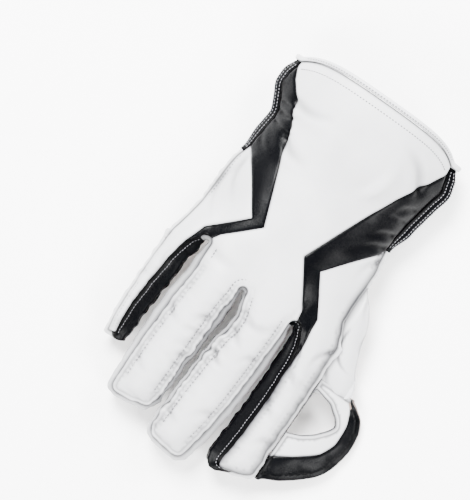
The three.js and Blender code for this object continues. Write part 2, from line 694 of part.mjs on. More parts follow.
// The web: a sheet that falls away from the index finger to a curved lip.
const webOutline = [
  { t: 0.206, lip: -0.688, trim: -0.677, level: 0.3 },
  { t: 0.237, lip: -0.723, trim: -0.691, level: 0.28 },
  { t: 0.294, lip: -0.78, trim: -0.713, level: 0.265 },
  { t: 0.377, lip: -0.809, trim: -0.736, level: 0.25 },
  { t: 0.469, lip: -0.817, trim: -0.74, level: 0.25 },
  { t: 0.579, lip: -0.805, trim: -0.709, level: 0.27 },
  { t: 0.675, lip: -0.777, trim: -0.621, level: 0.35 },
  { t: 0.772, lip: -0.709, trim: -0.504, level: 0.475 },
  { t: 0.86, lip: -0.617, trim: -0.426, level: 0.625 },
  { t: 0.93, lip: -0.528, trim: -0.426, level: 0.75 },
].map((r) => ({
  y: knuckleY + r.t * fingerLength.index,
  lip: r.lip * knuckleWidth,
  trim: r.trim * knuckleWidth,
  level: r.level * webHeight,
}));
const webWindow = [
  { x: -0.46, t: 0.593 },
  { x: -0.5, t: 0.593 },
  { x: -0.567, t: 0.561 },
  { x: -0.621, t: 0.513 },
  { x: -0.67, t: 0.443 },
  { x: -0.689, t: 0.405 },
  { x: -0.665, t: 0.36 },
  { x: -0.603, t: 0.305 },
  { x: -0.5, t: 0.276 },
  { x: -0.46, t: 0.276 },
].map(({ x, t }) => [x * knuckleWidth, knuckleY + t * fingerLength.index]);
function webZ(x, y) {
  const out = column(webOutline, "y", "lip", y);
  const level = column(webOutline, "y", "level", y);
  return mix(level, webHeight, 1 - (1 - clamp((x - out) / webDepth, 0, 1)) ** 1.8);
}
function webSheet(top, thickness, sideLine) {
  const count = 8;
  const rows = webOutline.flatMap((row, i) =>
    i === webOutline.length - 1 ? [row.y] : [row.y, mix(row.y, webOutline[i + 1].y, 0.5)],
  );
  const sheet = (drop) =>
    rows.map((y) => {
      const out = column(webOutline, "y", "lip", y);
      const inner = Math.max(sideLine(y), out + 2 * webRubber);
      return Array.from({ length: count }, (_, k) => {
        const x = mix(out, inner, (k / (count - 1)) ** 1.15);
        return [x, y, webZ(x, y) - drop];
      });
    });
  return latticeSolid(sheet(top), sheet(top + thickness));
}

// Palm side of the glove, cut into its panels at stations along the cuff and the hand.
const palmCuts = { wedge: 0.84, band: 1.03, heel: 1.26 };
function palmPanels(thumbHollow) {
  const facing = handLattice("palm", rubber);
  const cuff = handLattice("palm", cuffWall);
  const belt = (from, to, left = -beyond, right = 1 + beyond) => {
    const corner = (share, along) => planPoint({ across: share, along });
    return [corner(left, from), corner(right, from), corner(right, to), corner(left, to)];
  };
  const wedge = [
    { across: -beyond, along: 0.1 },
    { across: 0.03, along: 0.16 },
    { across: 0.24, along: palmCuts.wedge },
    { across: -beyond, along: palmCuts.wedge },
  ].map(planPoint);
  const right = 1 + beyond;
  const panel = [
    { across: -beyond, along: -0.2 },
    { across: right, along: -0.2 },
    { across: right, along: palmCuts.wedge },
    { across: 0.24, along: palmCuts.wedge },
    { across: 0.03, along: 0.16 },
    { across: -beyond, along: 0.1 },
  ].map(planPoint);
  const far = knuckleY + fingerLength.middle + 30;
  const [left, start] = planPoint({ across: -beyond * 3, along: palmCuts.heel });
  const [end] = planPoint({ across: 1 + beyond * 3, along: palmCuts.heel });
  const cuffShell = latticeSolid(cuff.outer, cuff.inner, slitOpen);
  const palmShell = latticeSolid(facing.outer, facing.inner, slitOpen);
  addPiece("cuff_palm", cuffShell.intersect(prism(inset(panel))), "white");
  addPiece("cuff_palm_wedge", cuffShell.intersect(prism(inset(wedge))), "black");
  addPiece("wrist_band", cuffShell.intersect(prism(inset(belt(palmCuts.wedge, palmCuts.band)))), "black");
  const heel = cuffShell.intersect(prism(inset(belt(palmCuts.band, palmCuts.heel))));
  addPiece("palm_heel", heel.subtract(thumbHollow), "white");
  const palm = palmShell.intersect(prism(inset([[left, start], [end, start], [end, far], [left, far]])));
  addPiece("palm_facing", palm.subtract(thumbHollow), "rubber");
}

function sidePieces(thumbHollow) {
  const walls = sideWalls();
  const find = (finger, side, test) => walls.findIndex((w) => w.finger === finger && w.side === side && test(w));
  const tip = (finger) => find(finger, "tip", (w) => w.line === (linesPerFinger - 1) / 2);
  const wristRow = sharedRows.findIndex((along) => along > 1);
  const heelRow = wristRow + 2;
  const last = walls.length - 1;
  const joints = [
    { name: "welt_thumb", look: "black", from: 0, to: find("index", "low", (w) => w.row === wristRow) },
    { name: "side_heel", look: "white", to: find("index", "low", (w) => w.row === heelRow) },
    { name: "side_index", look: "white", to: tip("index") },
    { name: "gusset_index", look: "black", to: find("index", "high", (w) => w.row === crotchRow.index) },
    { name: "gusset_centre", look: "white", to: find("little", "low", (w) => w.row === crotchRow.ring) },
    { name: "gusset_little", look: "black", to: tip("little") },
    { name: "side_little", look: "white", to: find("little", "high", (w) => w.row === wristRow) },
    { name: "welt_little", look: "black", to: last },
  ];
  joints.forEach((joint, k) => {
    const from = joint.from ?? joints[k - 1].to;
    const part = walls.slice(from, joint.to + 1).map(({ outer, inner }) => ({ outer, inner }));
    const trim = (end, next) => {
      const pull = (points, others) =>
        points.map((p, i) => {
          const d = Math.hypot(...p.map((v, c) => others[i][c] - v));
          return p.map((v, c) => v + ((others[i][c] - v) / d) * (seamGap / 2 + 0.05));
        });
      return { outer: pull(end.outer, next.outer), inner: pull(end.inner, next.inner) };
    };
    const n = part.length;
    const start = trim(part[0], part[1]);
    const stop = trim(part[n - 1], part[n - 2]);
    part[0] = start;
    part[n - 1] = stop;
    const wall = latticeSolid(
      part.map((p) => p.outer),
      part.map((p) => p.inner),
    );
    const open = ["side_heel", "side_index"].includes(joint.name);
    addPiece(joint.name, open ? largest(wall.subtract(thumbHollow)) : wall, joint.look);
  });
  return walls;
}

// The rim's binding: a ring that follows the mouth's section, just outside its walls.
function rimBinding(walls) {
  const lines = Array.from({ length: linesPerFinger }, (_, line) => line);
  const across = (kind) => fingers.flatMap((f) => lines.map((line) => latticePoint(f, line, 0, kind)));
  const corner = (wall) => ({ x: wall.outer[1][0], z: wall.outer[1][2], front: wall.outer[1][1] - rimBand.depth });
  const rows = { back: across("back"), palm: across("palm").reverse() };
  const loop = [...rows.back, corner(walls.at(-1)), ...rows.palm, corner(walls[0])].map((p) => ({
    x: p.x,
    z: p.z,
    front: p.front,
  }));
  const n = loop.length;
  const unit = (a, b) => {
    const d = Math.hypot(b.x - a.x, b.z - a.z);
    return [-(b.z - a.z) / d, (b.x - a.x) / d];
  };
  const ring = (reach) =>
    loop.map((p, i) => {
      const [ax, az] = unit(loop[(i + n - 1) % n], p);
      const [bx, bz] = unit(p, loop[(i + 1) % n]);
      const grow = reach / Math.max(0.5, 1 + ax * bx + az * bz);
      const x = p.x + (ax + bx) * grow;
      const z = Math.max(p.z + (az + bz) * grow, reach > 0 ? 0 : -reach);
      return [x, z, p.front ?? rimY(x, 0)];
    });
  const row = ([x, z, y]) => [
    [x, y, z],
    [x, y + rimBand.depth - 2 * seamGap, z],
  ];
  addPiece(
    "rim_binding",
    latticeSolid(ring(rimBand.over).map(row), ring(-cuffWall - rimBand.over).map(row), () => true, true),
    "white",
  );
}

function thumbAndWeb(hand, thumbOuter) {
  const slight = 0.018;
  const half = (from, to, thickness) =>
    largest(latticeSolid(thumbLattice(0, from, to), thumbLattice(thickness, from, to)).subtract(hand));
  addPiece("thumb_back", half(slight, Math.PI - slight, leather), "white");
  addPiece("thumb_facing", half(-slight, slight - Math.PI, rubber), "rubber");

  const sideLine = (y) => fingerEdge("index", "low", "wide", y) - seamGap * 1.6;
  const leatherSheet = webSheet(0, webLeather, sideLine).subtract(thumbOuter);
  const rubberSheet = webSheet(webLeather + seamGap, webRubber, sideLine).subtract(thumbOuter);
  const trimLine = webOutline.map(({ y, trim }) => [trim, y]);
  const [first] = trimLine;
  const far = trimLine.at(-1)[1] + thumbWidth;
  const out = -mouthWidth * 1.2;
  const near = first[1] - thumbWidth;
  const inside = trimLine.at(-1)[0];
  const trimArea = [[first[0], near], ...trimLine, [inside, far], [out, far], [out, near]];
  const panelArea = [[first[0], near], [inside, near], ...[...trimLine].reverse().slice(1)];
  const window = prism(webWindow);
  addPiece("web_trim", largest(leatherSheet.intersect(prism(inset(trimArea)))), "black");
  addPiece("web_panel", largest(leatherSheet.intersect(prism(inset(panelArea))).subtract(window)), "white");
  addPiece("web_facing", largest(rubberSheet.subtract(window)), "rubber");
}

const thumbHollow = thumbVolume(rubber);
palmPanels(thumbHollow);
const walls = sidePieces(thumbHollow);
rimBinding(walls);
thumbAndWeb(handVolume(walls, seamGap), thumbVolume(-seamGap));

glove.updateMatrixWorld(true);
const box = new THREE.Box3().setFromObject(glove);
glove.position.set(-(box.min.x + box.max.x) / 2, -(box.min.y + box.max.y) / 2, -box.min.z);

export default glove;
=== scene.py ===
"""A right-hand wicketkeeping glove, palm down on a pale table.

The glove is laid out in millimetres on a plan: Y from the cuff's mouth to the
fingertips, X from the thumb to the little finger, Z up from the table.
"""
import bpy
import math
import numpy as np
from mathutils import Matrix, Vector, geometry, kdtree, noise


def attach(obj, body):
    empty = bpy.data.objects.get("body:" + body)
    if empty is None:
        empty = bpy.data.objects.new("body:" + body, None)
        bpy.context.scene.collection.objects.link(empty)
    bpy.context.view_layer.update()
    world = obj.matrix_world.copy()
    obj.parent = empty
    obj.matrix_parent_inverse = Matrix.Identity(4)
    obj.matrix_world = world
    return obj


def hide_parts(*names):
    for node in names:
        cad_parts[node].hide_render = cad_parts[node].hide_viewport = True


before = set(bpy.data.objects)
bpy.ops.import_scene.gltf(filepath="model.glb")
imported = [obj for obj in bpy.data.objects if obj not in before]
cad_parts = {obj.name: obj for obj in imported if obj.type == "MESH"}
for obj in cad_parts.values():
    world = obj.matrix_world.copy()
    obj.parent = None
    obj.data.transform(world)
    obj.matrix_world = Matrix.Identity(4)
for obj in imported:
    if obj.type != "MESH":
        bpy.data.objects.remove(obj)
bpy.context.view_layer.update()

# Sizes
CUFF = 79.0  # from the rim to the wrist
HAND = 78.0  # from the wrist to the knuckles
FINGER = {"index": 114.0, "middle": 127.0, "ring": 114.0, "little": 83.0}
MOUTH = 129.0  # widths of the back at the rim, the wrist and the knuckles
WRIST = 128.0
KNUCKLE = 141.0
RIM_SWEEP = 8.0  # how far the rim's two ends turn towards the fingers
RIM_FADE = 40.0  # where that sweep has died out
RIM_BAND = 4.0  # width of the binding
KNUCKLE_FADE = 15.0  # so far below the knuckles a finger's edges end
TIP_ROUND = 0.42  # length of a tip's rounding, as a share of the finger's width
TIP_SQUARE = 4.5  # 2 is a round tip, more is squarer
TIP_LEAN = {"index": 4.0, "middle": -2.0, "ring": 3.0, "little": 1.0}
LEAN_RUN = 30.0
TIP_REACH = {"back": 0.0, "wide": 3.2, "palm": 1.4}
MOUTH_HIGH = 64.0
WRIST_HIGH = 55.0
KNUCKLE_HIGH = 50.0
TIP_HIGH = 21.0
SEAM_HIGH = 28.0  # height of the back's edge
DROP = 8.2  # from the back's edge down to the palm's edge
PALM_HOLLOW = 12.0
PUFF = 8.0  # padding on the fingers' backs
THUMB_WIDE = 35.0
THUMB_HIGH = 25.0
THUMB_ROOM = 6.0  # how far the palm lifts over the thumb
WEB_HIGH = 20.0
WEB_DEPTH = 34.0
LEATHER = 2.4
THIN = 1.4  # leather of the walls and the web
RUBBER = 2.6
WEB_RUBBER = 1.9
WELT = {"thumb": 6.5, "little": 4.2}
PLAIN_REACH = 1.9  # how far a plain wall bulges
FLOOR_GAP = 0.02
WRIST_Y = CUFF
KNUCKLE_Y = CUFF + HAND
SHIFT = np.array([19.928, -142.272, 0.0])  # from the plan into the frame
FINGERS = ["index", "middle", "ring", "little"]
NEXT = {"index": "middle", "middle": "ring", "ring": "little"}
FREE_FROM = 2.045  # the station above which every finger stands free
CROTCH = {"index": FREE_FROM, "middle": FREE_FROM, "ring": 1.9}
SLIT_STOPS = 9  # points round the end of a slit


class Curve:
    """A smooth line through a short table of places and values."""

    def __init__(self, places, values):
        x = np.asarray(places, float)
        y = np.asarray(values, float)
        step = np.diff(y) / np.diff(x)
        slope = np.zeros(len(x))
        for k in range(1, len(x) - 1):
            if step[k - 1] * step[k] > 0:
                slope[k] = 2 * step[k - 1] * step[k] / (step[k - 1] + step[k])
        self.x, self.y, self.slope = x, y, slope

    def __call__(self, s):
        s = np.clip(np.asarray(s, float), self.x[0], self.x[-1])
        i = np.clip(np.searchsorted(self.x, s, side="right") - 1, 0, len(self.x) - 2)
        span = self.x[i + 1] - self.x[i]
        t = (s - self.x[i]) / span
        lead, trail = self.slope[i], self.slope[i + 1]
        return (self.y[i] * (2 * t**3 - 3 * t**2 + 1) + self.y[i + 1] * (3 * t**2 - 2 * t**3)
                + span * (lead * (t**3 - 2 * t**2 + t) + trail * (t**3 - t**2)))


def ease(t):
    """0 below 0, 1 above 1 and a soft S between them."""
    t = np.clip(t, 0, 1)
    return t * t * (3 - 2 * t)


def bump(s, start, top, end):
    """Rises from start to top, and falls again to end."""
    rise, fall = ease((s - start) / (top - start)), ease((end - s) / (end - top))
    return np.where(np.asarray(s) < top, rise, fall)


def hill(distance, at, width):
    """1 at a distance from a line, fading softly to both sides of it."""
    return np.exp(-((distance - at) / width) ** 2)


def station(y, finger):
    """0 at the rim, 1 at the wrist, 2 at the knuckles, 3 at a fingertip."""
    y = np.asarray(y, float)
    return np.where(y <= WRIST_Y, y / CUFF, np.where(
        y <= KNUCKLE_Y, 1 + (y - WRIST_Y) / HAND, 2 + (y - KNUCKLE_Y) / FINGER[finger]))


def place(along, finger="middle"):
    """The Y of a station."""
    if along <= 1:
        return along * CUFF
    if along <= 2:
        return WRIST_Y + (along - 1) * HAND
    return KNUCKLE_Y + (along - 2) * FINGER[finger]


SIDES = [  # along, width, thumb share, little share
    (0.0, MOUTH, 0.457, 0.516), (0.19, MOUTH, 0.476, 0.534), (0.291, MOUTH, 0.488, 0.534),
    (0.481, MOUTH, 0.473, 0.501), (0.646, WRIST, 0.458, 0.467), (0.797, WRIST, 0.442, 0.475),
    (0.987, WRIST, 0.434, 0.488), (1.154, WRIST, 0.441, 0.514), (1.333, KNUCKLE, 0.415, 0.474),
    (1.59, KNUCKLE, 0.414, 0.476), (1.769, KNUCKLE, 0.421, 0.489), (1.897, KNUCKLE, 0.446, 0.503),
    (2.0, KNUCKLE, 0.466, 0.514)]
SIDE = {
    "thumb": Curve([r[0] for r in SIDES], [-r[1] * r[2] for r in SIDES]),
    "little": Curve([r[0] for r in SIDES], [r[1] * r[3] for r in SIDES]),
}


def side_x(side, y):
    """X of the hand's thumb side or little side."""
    return SIDE[side](station(np.minimum(y, KNUCKLE_Y), "middle"))


OUTLINE = {  # t, low, high, low inset, high inset
    "index": [(-0.13, -0.462, -0.249, 0, 0), (0, -0.48, -0.25, 0.013, 0),
              (0.085, -0.484, -0.25, 0.014, 0.034), (0.19, -0.487, -0.255, 0.014, 0.06),
              (0.47, -0.494, -0.262, 0.014, 0.072),
              (0.75, -0.497, -0.258, 0.014, 0.074), (1, -0.506, -0.254, 0.014, 0.062)],
    "middle": [(-0.12, -0.206, 0.045, 0, 0), (0.03, -0.208, 0.045, 0, 0),
               (0.1, -0.224, 0.036, 0.014, 0.006), (0.19, -0.236, 0.024, 0.026, 0.013),
               (0.34, -0.237, 0.043, 0.03, 0.013),
               (0.52, -0.234, 0.054, 0.032, 0.012), (0.76, -0.216, 0.064, 0.032, 0.012),
               (1, -0.178, 0.066, 0.026, 0.012)],
    "ring": [(-0.13, 0.09, 0.322, 0, 0), (-0.04, 0.09, 0.324, 0, 0.004),
             (0.03, 0.086, 0.332, 0, 0.016), (0.11, 0.07, 0.342, 0.014, 0.03),
             (0.21, 0.064, 0.352, 0.028, 0.034),
             (0.38, 0.074, 0.359, 0.02, 0.034), (0.57, 0.081, 0.36, 0.014, 0.03),
             (0.76, 0.083, 0.354, 0.014, 0.024), (1, 0.09, 0.342, 0.012, 0.018)],
    "little": [(-0.18, 0.364, 0.503, 0, 0), (-0.09, 0.366, 0.508, 0.014, 0.002),
               (0, 0.372, 0.526, 0.046, 0.013), (0.27, 0.381, 0.53, 0.07, 0.014),
               (0.55, 0.389, 0.527, 0.078, 0.014),
               (0.8, 0.395, 0.52, 0.07, 0.014), (1, 0.398, 0.506, 0.05, 0.013)],
}
PALM_INSET = 0.012
EDGE = {finger: {name: Curve([r[0] for r in rows], [r[k + 1] * KNUCKLE for r in rows])
                 for k, name in enumerate(["low", "high", "low_in", "high_in"])}
        for finger, rows in OUTLINE.items()}


def finger_edge(finger, side, kind, y):
    """X of a finger's edge on the back, on the palm side or at its widest."""
    t = (np.asarray(y, float) - KNUCKLE_Y) / FINGER[finger]
    inset = 0
    if kind == "back":
        inset = EDGE[finger][side + "_in"](t)
    if kind == "palm":
        inset = PALM_INSET * KNUCKLE * ease(t * 8)
    return EDGE[finger][side](t) + (inset if side == "low" else -inset)


def edge_x(finger, side, kind, y):
    """X of a finger's edge; over the hand the edges follow the side seams."""
    y = np.asarray(y, float)
    start = KNUCKLE_Y - KNUCKLE_FADE
    above = finger_edge(finger, side, kind, np.maximum(y, start))
    if (finger, side) == ("index", "low"):
        above = np.where(y < KNUCKLE_Y, side_x("thumb", y), above)
    if (finger, side) == ("little", "high"):
        above = np.where(y < KNUCKLE_Y, side_x("little", y), above)
    x = finger_edge(finger, side, kind, start)
    low, high = side_x("thumb", start), side_x("little", start)
    share = np.clip((x - low) / (high - low), 0, 1)
    below = side_x("thumb", y) * (1 - share) + side_x("little", y) * share
    return np.where(y > start, above, below)


def arch_between(t):
    """The arch's height at a share of the way from the knuckles to the tips."""
    return KNUCKLE_HIGH + (TIP_HIGH - KNUCKLE_HIGH) * t


HEIGHTS = [  # along, arch in mm, and shares of the seam, puff, sink, drop and pad
    (0.0, MOUTH_HIGH, 1, 0, 0, 1, -0.42),
    (0.5, 0.97 * MOUTH_HIGH, 0.964, 0, 0, 1, -0.42),
    (1.0, WRIST_HIGH, 0.93, 0, 0, 1, -0.33),
    (1.35, 0.98 * WRIST_HIGH, 0.964, 0, 0, 1, 0.25),
    (1.65, 0.973 * WRIST_HIGH, 1.036, 0.1, 0, 1.12, 0.8),
    (2.0, KNUCKLE_HIGH, 1.143, 0.5, 0.125, 1.59, 1),
    (2.25, arch_between(0.22), 1.143, 0.9, 0.375, 1.95, 0.75),
    (2.5, arch_between(0.43), 1.071, 1, 0.5, 1.95, 0.45),
    (2.75, arch_between(0.62), 0.964, 1, 0.5, 1.83, -0.12),
    (2.9, arch_between(0.78), 0.893, 0.95, 0.5, 1.77, -0.17),
    (3.0, arch_between(0.94), 0.75, 0.7, 0.375, 1.75, 0.2)]
HEIGHTS = [(along, arch, seam * SEAM_HIGH, puff * PUFF, sink * PUFF,
            seam * SEAM_HIGH - drop * DROP, pad * PALM_HOLLOW)
           for along, arch, seam, puff, sink, drop, pad in HEIGHTS]
HEIGHT = {name: Curve([r[0] for r in HEIGHTS], [r[k + 1] for r in HEIGHTS])
          for k, name in enumerate(["arch", "seam", "puff", "sink", "rest", "pad"])}


def share_across(x, low, high, reach=1.0):
    """-1 at the low edge, 1 at the high edge."""
    return np.clip((2 * x - low - high) / (high - low), -reach, reach)


def across(x, y, finger, kind):
    """The shares across the whole hand and across one finger."""
    hand_y = np.minimum(y, KNUCKLE_Y)
    top_of_hand = finger_edge("index", "low", "back", KNUCKLE_Y)
    low = np.where(np.asarray(y) > KNUCKLE_Y, top_of_hand, side_x("thumb", hand_y))
    high = side_x("little", hand_y)
    digit_low, digit_high = edge_x(finger, "low", kind, y), edge_x(finger, "high", kind, y)
    return share_across(x, low, high), share_across(x, digit_low, digit_high)


ARCH_CURVE = 2.4  # exponents: 2 is a round section, more is flatter on top
PUFF_CURVE = 2.2
PALM_CURVE = 2.6
PAD_CURVE = 2.4


def back_on(x, y, finger):
    """Height of the back, as the strip of one finger has it."""
    along = station(y, finger)
    hand, digit = across(x, y, finger, "back")
    seam = HEIGHT["seam"](along)
    arch = seam + (HEIGHT["arch"](along) - seam) * (1 - np.abs(hand) ** ARCH_CURVE)
    puff = HEIGHT["puff"](along)
    if finger == "little":  # its strip is narrow, so the padding flattens before the tip
        puff = puff * (1 - 0.75 * ease((along - 2.8) / 0.16))
    return arch - HEIGHT["sink"](along) + puff * (1 - np.abs(digit) ** PUFF_CURVE)


def palm_on(x, y, finger):
    """Height of the palm side, as the strip of one finger has it."""
    along = station(y, finger)
    hand, digit = across(x, y, finger, "palm")
    rest, pad = HEIGHT["rest"](along), HEIGHT["pad"](along)
    whole = rest - (rest - pad) * (1 - np.abs(hand) ** PALM_CURVE)
    own = rest - (rest - pad) * (1 - np.abs(digit) ** PAD_CURVE)
    share = ease((along - 1.75) / 0.5)
    lift = THUMB_ROOM * bump(along, 1.75, 2.08, 2.5) if finger == "index" else 0
    return np.maximum(0, whole * (1 - share) + own * share + lift)


def nearest_finger(x, y, kind):
    """For every plan point, the finger whose strip it lies on."""
    spread = []
    for finger in FINGERS:
        f0, f1 = edge_x(finger, "low", kind, y), edge_x(finger, "high", kind, y)
        spread.append(np.maximum(f0 - x, x - f1))
    return np.argmin(np.array(spread), axis=0)


def surface(kind):
    """The height of the back or the palm side over any plan points."""
    on = back_on if kind == "back" else palm_on

    def height(x, y):
        x, y = np.asarray(x, float), np.asarray(y, float)
        which = nearest_finger(x, y, kind)
        return np.choose(which, [on(x, y, finger) for finger in FINGERS])
    return height


BACK, PALM = surface("back"), surface("palm")


# Outlines on the plan
def rim_y(x, y):
    """Y of a row near the rim, which is swept towards the fingers at both sides."""
    fade = np.clip(1 - y / RIM_FADE, 0, 1)
    side = np.where(np.asarray(x) < 0, x / side_x("thumb", 0), x / side_x("little", 0))
    return y + RIM_BAND * fade + RIM_SWEEP * np.clip(side, 0, 1.15) ** 6 * fade


def tip_y(finger, kind):
    """Y of a fingertip."""
    return KNUCKLE_Y + FINGER[finger] - TIP_REACH["wide"] + TIP_REACH[kind]


def line_x(finger, share, kind, y):
    """X at a share from -1 to 1 across a finger, with its tip's rounding."""
    low, high = edge_x(finger, "low", kind, y), edge_x(finger, "high", kind, y)
    end = tip_y(finger, kind)
    start = end - TIP_ROUND * (high - low)
    gone = np.clip((y - start) / (end - start), 0, 1) ** TIP_SQUARE
    left = np.clip(1 - gone, 0, 1) ** (1 / TIP_SQUARE)
    return (low + high) / 2 + (high - low) / 2 * left * share


def leant(finger, kind, x, y):
    """Y of a finger's plan point, moved by the lean of its tip to one side."""
    side = share_across(x, edge_x(finger, "low", kind, y), edge_x(finger, "high", kind, y), 1.1)
    start = KNUCKLE_Y + FINGER[finger] - LEAN_RUN
    return y + TIP_LEAN[finger] * side * ease((y - start) / LEAN_RUN)


def finger_outline(finger, kind, from_y, to_y, count=90):
    """Up a finger's thumb side, round its tip and down its other side."""
    end = tip_y(finger, kind)
    up = from_y + (end - from_y) * np.sin(np.linspace(0, math.pi / 2, count))
    down = to_y + (end - to_y) * np.cos(np.linspace(0, math.pi / 2, count))[1:]
    low_x, high_x = line_x(finger, -1, kind, up), line_x(finger, 1, kind, down)
    low = np.column_stack([low_x, leant(finger, kind, low_x, up)])
    high = np.column_stack([high_x, leant(finger, kind, high_x, down)])
    return np.vstack([low, high])


def slit_end(finger, kind, count=SLIT_STOPS):
    """The round end of the slit beside a finger, from its edge to its neighbour's."""
    y = place(CROTCH[finger])
    a = np.array([float(line_x(finger, 1, kind, y)), y])
    b = np.array([float(line_x(NEXT[finger], -1, kind, y)), y])
    turn = np.linspace(math.pi, 2 * math.pi, count + 2)[1:-1]
    reach = max((b[0] - a[0]) / 2, 0.4)
    x = (a[0] + b[0]) / 2 + reach * np.cos(turn)
    return np.column_stack([x, y + max(reach, 1.6) * np.sin(turn)])


def comb_outline(kind):
    """The whole outline of the back or the palm side: up the thumb side, round and back."""
    ys = np.linspace(0, KNUCKLE_Y, 140)
    rim = np.linspace(side_x("little", 0), side_x("thumb", 0), 110)
    left = np.column_stack([side_x("thumb", ys), rim_y(side_x("thumb", ys), ys)])
    right = np.column_stack([side_x("little", ys), rim_y(side_x("little", ys), ys)])[::-1]
    parts = [left[:-1]]
    for k, finger in enumerate(FINGERS):
        start = KNUCKLE_Y if k == 0 else place(CROTCH[FINGERS[k - 1]])
        end = KNUCKLE_Y if k == 3 else place(CROTCH[finger])
        parts.append(finger_outline(finger, kind, start, end))
        if k < 3:
            parts.append(slit_end(finger, kind))
    parts.append(right[1:])
    parts.append(np.column_stack([rim, rim_y(rim, 0)])[1:-1])
    return np.vstack(parts)


def plan_point(share, along):
    """The plan point at a share of the way from the thumb side to the little side."""
    y = place(along)
    return (side_x("thumb", y) * (1 - share) + side_x("little", y) * share, y)


BEYOND = 0.09
CENTRE_EDGE = {  # share across the hand, station
    "thumb": [(-BEYOND, 0.1), (0.02, 0.228), (0.089, 0.449), (0.154, 0.671),
              (0.218, 0.956), (0.376, 1.519), (0.238, 1.917)],
    "little": [(1 + BEYOND, 0.13), (0.985, 0.19), (0.954, 0.308), (0.909, 0.449), (0.909, 0.529),
               (0.878, 0.671), (0.855, 0.797), (0.642, 1.517), (0.8, 1.78)],
}
OUTER_EDGE = {
    "thumb": [(-BEYOND, 0.98), (-0.006, 1.068), (0.253, 1.549), (0.143, 1.901)],
    "little": [(1 + BEYOND, 0.93), (0.996, 0.987), (0.726, 1.508), (0.893, 1.8)],
}
STRIP = {  # t, width beside the finger's edge
    "index": [(0.0, 0.064), (0.1, 0.036), (0.19, 0.012), (0.25, 0.004)],
    "little": [(0.0, 0.012), (0.12, 0.006), (0.2, 0.004)],
}


def strip_edge(finger, offset):
    """The edge of the black strip beside a finger's slit, or the slit's own edge."""
    side, sign = ("high", -1) if finger == "index" else ("low", 1)
    points = []
    for t, width in STRIP[finger]:
        y = KNUCKLE_Y + t * FINGER[finger]
        reach = width * KNUCKLE if offset else -1.2
        points.append((float(finger_edge(finger, side, "back", y)) + sign * reach, y))
    return points


def slit(finger):
    """The plan point at the bottom of the slit beside a finger."""
    y = place(CROTCH[finger])
    both = edge_x(finger, "high", "back", y) + edge_x(NEXT[finger], "low", "back", y)
    return (float(both) / 2, y)


def back_areas():
    """The panels of the back, as outlines that reach beyond the glove's own outline."""
    far = KNUCKLE_Y + FINGER["middle"] + 30
    thumb_slit, little_slit = slit("index"), slit("ring")
    thumb_in = [plan_point(*p) for p in CENTRE_EDGE["thumb"]]
    little_in = [plan_point(*p) for p in CENTRE_EDGE["little"]]
    thumb_out = [plan_point(*p) for p in OUTER_EDGE["thumb"]]
    little_out = [plan_point(*p) for p in OUTER_EDGE["little"]]
    strip = {f: strip_edge(f, True) for f in ("index", "little")}
    edge = {f: strip_edge(f, False) for f in ("index", "little")}
    left, right = float(side_x("thumb", 0)) * 1.4, float(side_x("little", 0)) * 1.4
    rim_corners = [(left, -RIM_SWEEP), (right, -RIM_SWEEP)]
    index_end, little_end = edge["index"][-1], edge["little"][-1]
    return {
        "back_centre": thumb_in[::-1] + rim_corners + little_in
        + [little_slit, (little_slit[0], far), (thumb_slit[0], far), thumb_slit],
        "stripe_thumb": thumb_in + [thumb_slit] + edge["index"][1:]
        + strip["index"][::-1] + thumb_out[::-1],
        "stripe_little": little_in + [little_slit] + edge["little"]
        + strip["little"][::-1] + little_out[::-1],
        "back_index": thumb_out + strip["index"]
        + [index_end, (thumb_slit[0], index_end[1]), (thumb_slit[0], far), (left, far)],
        "back_little": little_out + strip["little"]
        + [little_end, (little_slit[0], little_end[1]), (little_slit[0], far), (right, far)],
    }


def palm_areas():
    """The panels of the palm side."""
    wedge, band, heel = 0.84, 1.03, 1.26
    left, right = -BEYOND * 2, 1 + BEYOND * 2
    far = KNUCKLE_Y + FINGER["middle"] + 30
    slant = [(left, 0.1), (0.03, 0.16), (0.24, wedge)]

    def belt(start, end):
        return [plan_point(left, start), plan_point(right, start),
                plan_point(right, end), plan_point(left, end)]
    cuff = [(left, -0.2), (right, -0.2), (right, wedge)] + slant[::-1]
    return {
        "cuff_palm": [plan_point(*p) for p in cuff],
        "cuff_palm_wedge": [plan_point(*p) for p in slant + [(left, wedge)]],
        "wrist_band": belt(wedge, band),
        "palm_heel": belt(band, heel),
        "palm_facing": [plan_point(left, heel), plan_point(right, heel), (140, far), (-140, far)],
    }


# Sheets cut from a plan
def resample(points, step, closed=False):
    """Even steps along a line of plan points."""
    p = np.asarray(points, float)
    if closed:
        p = np.vstack([p, p[:1]])
    span = np.hypot(*np.diff(p, axis=0).T)
    reach = np.concatenate([[0], np.cumsum(span)])
    count = max(2, int(round(reach[-1] / step)) + 1)
    at = np.linspace(0, reach[-1], count)
    out = np.column_stack([np.interp(at, reach, p[:, 0]), np.interp(at, reach, p[:, 1])])
    return out[:-1] if closed else out


def inside(points, outline):
    """Which plan points lie inside an outline."""
    x, y = points[:, 0], points[:, 1]
    result = np.zeros(len(points), bool)
    outline = np.asarray(outline, float)
    for (ax, ay), (bx, by) in zip(outline, np.roll(outline, -1, axis=0)):
        crosses = (ay > y) != (by > y)
        with np.errstate(divide="ignore", invalid="ignore"):
            at = ax + (y - ay) / (by - ay) * (bx - ax)
        result ^= crosses & (x < at)
    return result


def side_rings(line, distances, closed):
    """Points at set distances on both sides of a line, to carry a seam's section."""
    nxt = np.roll(line, -1, axis=0) if closed else np.vstack([line[1:], 2 * line[-1] - line[-2]])
    prv = np.roll(line, 1, axis=0) if closed else np.vstack([2 * line[0] - line[1], line[:-1]])
    t = nxt - prv
    t /= np.maximum(np.hypot(*t.T), 1e-9)[:, None]
    n = np.column_stack([-t[:, 1], t[:, 0]])
    return [(line + n * d, abs(d)) for r in distances for d in (r, -r)]


